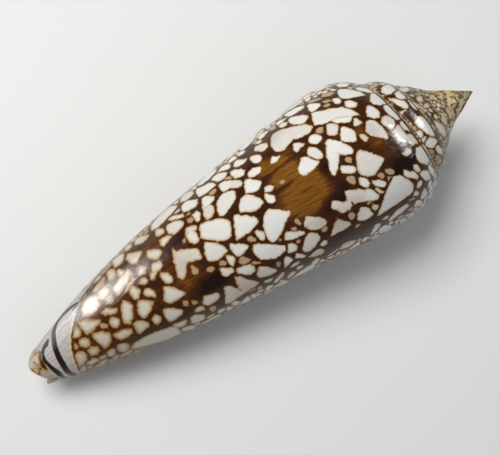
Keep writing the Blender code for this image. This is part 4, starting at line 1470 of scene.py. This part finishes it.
def shell_material():
    """Glossy shell: pale tents in a brown net, a worn matt apex and a porcelain inside."""
    material = bpy.data.materials.new("shell_pattern")
    material.use_nodes = True
    shader = material.node_tree.nodes["Principled BSDF"]
    n = Nodes(material.node_tree)
    tents = n.field("tents_a") + n.field("tents_b")
    dark_marks, pale_marks, wear = n.field("marks")
    turn, depth, inside = n.field("growth")
    tan_and_shade, gold, creamy = n.field("tint")
    position = n.position()
    wobble = n.noise(position, WOBBLE_NOISE) - 0.5
    tent = tent_depth(n, tents + [pale_marks], wobble, n.noise(position, FINE_NOISE) - 0.5)

    growth = n.joined(turn * STREAKS_PER_TURN, depth * STREAKS_PER_MM)
    streaks = n.noise(growth, STREAK_NOISE)
    fine_streaks = n.noise(growth, FINE_STREAK_NOISE)
    mottle = n.noise(position, MOTTLE_NOISE)
    spots = gold + (mottle - 0.5) * 1.3 + (streaks - 0.5) * 0.9
    brown = brown_colour(n, tent, spots, creamy, fine_streaks)
    pale = pale_colour(n, tent, tan_and_shade, creamy, pale_marks, fine_streaks)
    colour = n.mix(n.rise(tent, (-0.05, 0.07)), brown, pale)
    dark = n.mix(n.rise(dark_marks, (0.0, 0.25)), STROKE_EDGE, STROKE_MIDDLE)
    colour = n.mix(n.rise(dark_marks + wobble * 0.1, (-0.07, 0.07)), colour, dark)

    worn = wear + (mottle - 0.5) * 0.5
    faded = n.mix(n.rise(tent, (-0.06, 0.06)), FADED_BROWN, FADED_WHITE)
    colour = n.mix(n.rise(wear, (0.02, 0.4)), colour, faded)
    bare = n.mix(n.rise(n.noise(position, WORN_NOISE), (0.45, 0.58)), WORN_BEIGE, WORN_BROWN)
    colour = n.mix(n.rise(worn, (0.55, 0.8)), colour, bare)
    inside = n.rise(inside, (0.3, 0.9))
    n.put(shader.inputs["Base Color"], n.mix(inside, colour, PORCELAIN))
    shader.inputs["Specular IOR Level"].default_value = SPECULAR
    rough = GLOSS_ROUGHNESS + n.rise(worn, (0.3, 0.7)) * WORN_ROUGHNESS + mottle * MOTTLE_ROUGHNESS
    n.put(shader.inputs["Roughness"], rough)

    height = fine_streaks * 0.8 + streaks * 0.9 + n.noise(position, GRAIN_NOISE) * 0.6
    height = height * (1.0 - inside * 0.8)
    n.put(shader.inputs["Normal"], n.bump(height, BUMP_STRENGTH, BUMP_METRES))
    return material


def clean_fields(mesh):
    """Gives the corners that the cut made the turn and depth of their nearest neighbour."""
    turn = read_attribute(mesh, "turn")
    depth = read_attribute(mesh, "depth")
    known = depth > KNOWN_DEPTH
    tree = KDTree(int(known.sum()))
    for index in np.nonzero(known)[0]:
        tree.insert(mesh.vertices[int(index)].co, int(index))
    tree.balance()
    for index in np.nonzero(~known)[0]:
        _, nearest, _ = tree.find(mesh.vertices[int(index)].co)
        turn[index] = turn[nearest]
        depth[index] = depth[nearest]
    mesh.attributes["turn"].data.foreach_set("value", turn.astype(np.float32))
    mesh.attributes["depth"].data.foreach_set("value", depth.astype(np.float32))


def front_zone(skin, angle):
    """How far each vertex lies in front of the line that ends the net, in millimetres."""
    line = smooth_curve(FRONT_LINE)(np.clip(angle, FRONT_LINE[0][0], FRONT_LINE[-1][0]))
    return np.where(skin.turn > LIP_TURN - LAST_TURN, skin.depth - line, -FAR)


def draw_tents(skin, front):
    """Draws the net's pale tents: first those seen in the photograph, then the hidden ones."""
    pattern = Pattern(skin)
    rng = np.random.default_rng(PATTERN_SEED)
    for corners in WHITE_TENTS:
        pattern.add_seen(corners, rng.choice(WHITE_TONES))
    for corners in TAN_TENTS:
        pattern.add_seen(corners, TAN_TONE)
    pattern.tone[front > pattern.best] = 0.0
    pattern.best = np.maximum(pattern.best, front)
    fill_unseen(pattern, rng)
    return pattern


def below_seam(skin):
    """How far each vertex of a band lies below its seam, in millimetres."""
    start, start_radius = seam(skin.turn)
    end, end_radius = seam(skin.turn + 1)
    v = (skin.depth - start) / (end - start)
    shown = (v <= 1) & skin.outer & (skin.depth > SEAM_LINE_START)
    return np.where(shown, v * np.hypot(end - start, end_radius - start_radius), 2 * FAR)


def dark_lines(skin, angle, below):
    """Inside distance of the dark strokes, of the bands on the hidden side and of the seam lines."""
    dark = draw_strokes(skin, DARK_STROKES)
    for middle, half, start, end in HIDDEN_BANDS:
        band = half * ease(angle, (end, start)) - np.abs(skin.depth - middle)
        dark = np.where((angle < start) & skin.outer, np.maximum(dark, band), dark)
    for middle, half in SEAM_DARK_LINES:
        dark = np.maximum(dark, half - np.abs(below - middle))
    return dark


def pale_lines(skin, front, below):
    """Inside distance of the front zone and the pale strokes, with brown strokes drawn over them."""
    middle, half = SEAM_PALE_LINE
    pale = np.maximum(draw_strokes(skin, PALE_STROKES), front)
    pale = np.maximum(pale, half - np.abs(below - middle))
    return np.minimum(pale, -draw_strokes(skin, BROWN_STROKES))


def paint(shell, resting):
    """Works out the pattern's fields and keeps them on the mesh."""
    mesh = shell.data
    clean_fields(mesh)
    skin = Skin(mesh, resting)
    angle = 360 * (skin.turn + lip_sweep(skin.depth))
    front = front_zone(skin, angle)
    below = below_seam(skin)
    pattern = draw_tents(skin, front)
    # Broader lines darken some spots; on the right side this is partly painted shade.
    channels = pattern.channels - blobs(skin, BROAD_LINES_AND_SHADE)[:, None]
    marks = [dark_lines(skin, angle, below), pale_lines(skin, front, below), 1 - ease(skin.depth, WEAR_DEPTHS)]
    creamy = ease(skin.depth, CREAMY_DEPTHS) * (1 - CREAMY_NET_ONLY * ease(front, FRONT_EDGE))
    creamy = creamy + CREAMY_SPIRE * (1 - ease(skin.depth, CREAMY_SPIRE_DEPTHS))
    creamy = creamy + CREAMY_KNOB * ease(skin.depth, KNOB_DEPTHS)
    # The tents' tone, with spots that on the right side are partly painted shade.
    tone = np.clip(pattern.tone + blobs(skin, TONE_AND_SHADE_SPOTS), 0.0, 1.0) * (front < 0)
    write_attribute(mesh, "tents_a", channels[:, :3])
    write_attribute(mesh, "tents_b", channels[:, 3:])
    write_attribute(mesh, "marks", np.stack(marks, axis=1))
    write_attribute(mesh, "growth", np.stack([skin.turn, skin.depth, ~skin.outer], axis=1))
    write_attribute(mesh, "tint", np.stack([tone, blobs(skin, BROWN_SPOTS), creamy], axis=1))
    mesh.materials.clear()
    mesh.materials.append(shell_material())
    for face in mesh.polygons:
        face.material_index = 0
    mesh.shade_smooth()
    mesh.set_sharp_from_angle(angle=math.radians(SHARP_DEGREES))


def make_lights(shell, resting):
    """Soft studio light from above, and the two small lamps that the photograph's highlights show."""
    aim = resting @ (Vector(LAMP_AIM) * MM)
    for name, (place_mm, size_mm, power, colour) in (("key", KEY_LAMP), ("fill", FILL_LAMP)):
        soft_light(name, resting @ (Vector(place_mm) * MM), aim, size_mm, power, colour)
    glint("front_glint", shell, resting, *FRONT_GLINT)
    glint("shoulder_glint", shell, resting, *SHOULDER_GLINT)


def make_world():
    """Even, weak light from all round."""
    world = bpy.data.worlds.new("world")
    world.use_nodes = True
    background = world.node_tree.nodes["Background"]
    background.inputs["Color"].default_value = WORLD_COLOUR
    background.inputs["Strength"].default_value = WORLD_STRENGTH
    bpy.context.scene.world = world


shell = build_shell()
resting = resting_place()
paint(shell, resting)
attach(shell, "root")
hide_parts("shell")
set_camera(resting)
make_floor()
make_lights(shell, resting)
make_world()
bpy.context.scene.view_settings.view_transform = "Standard"
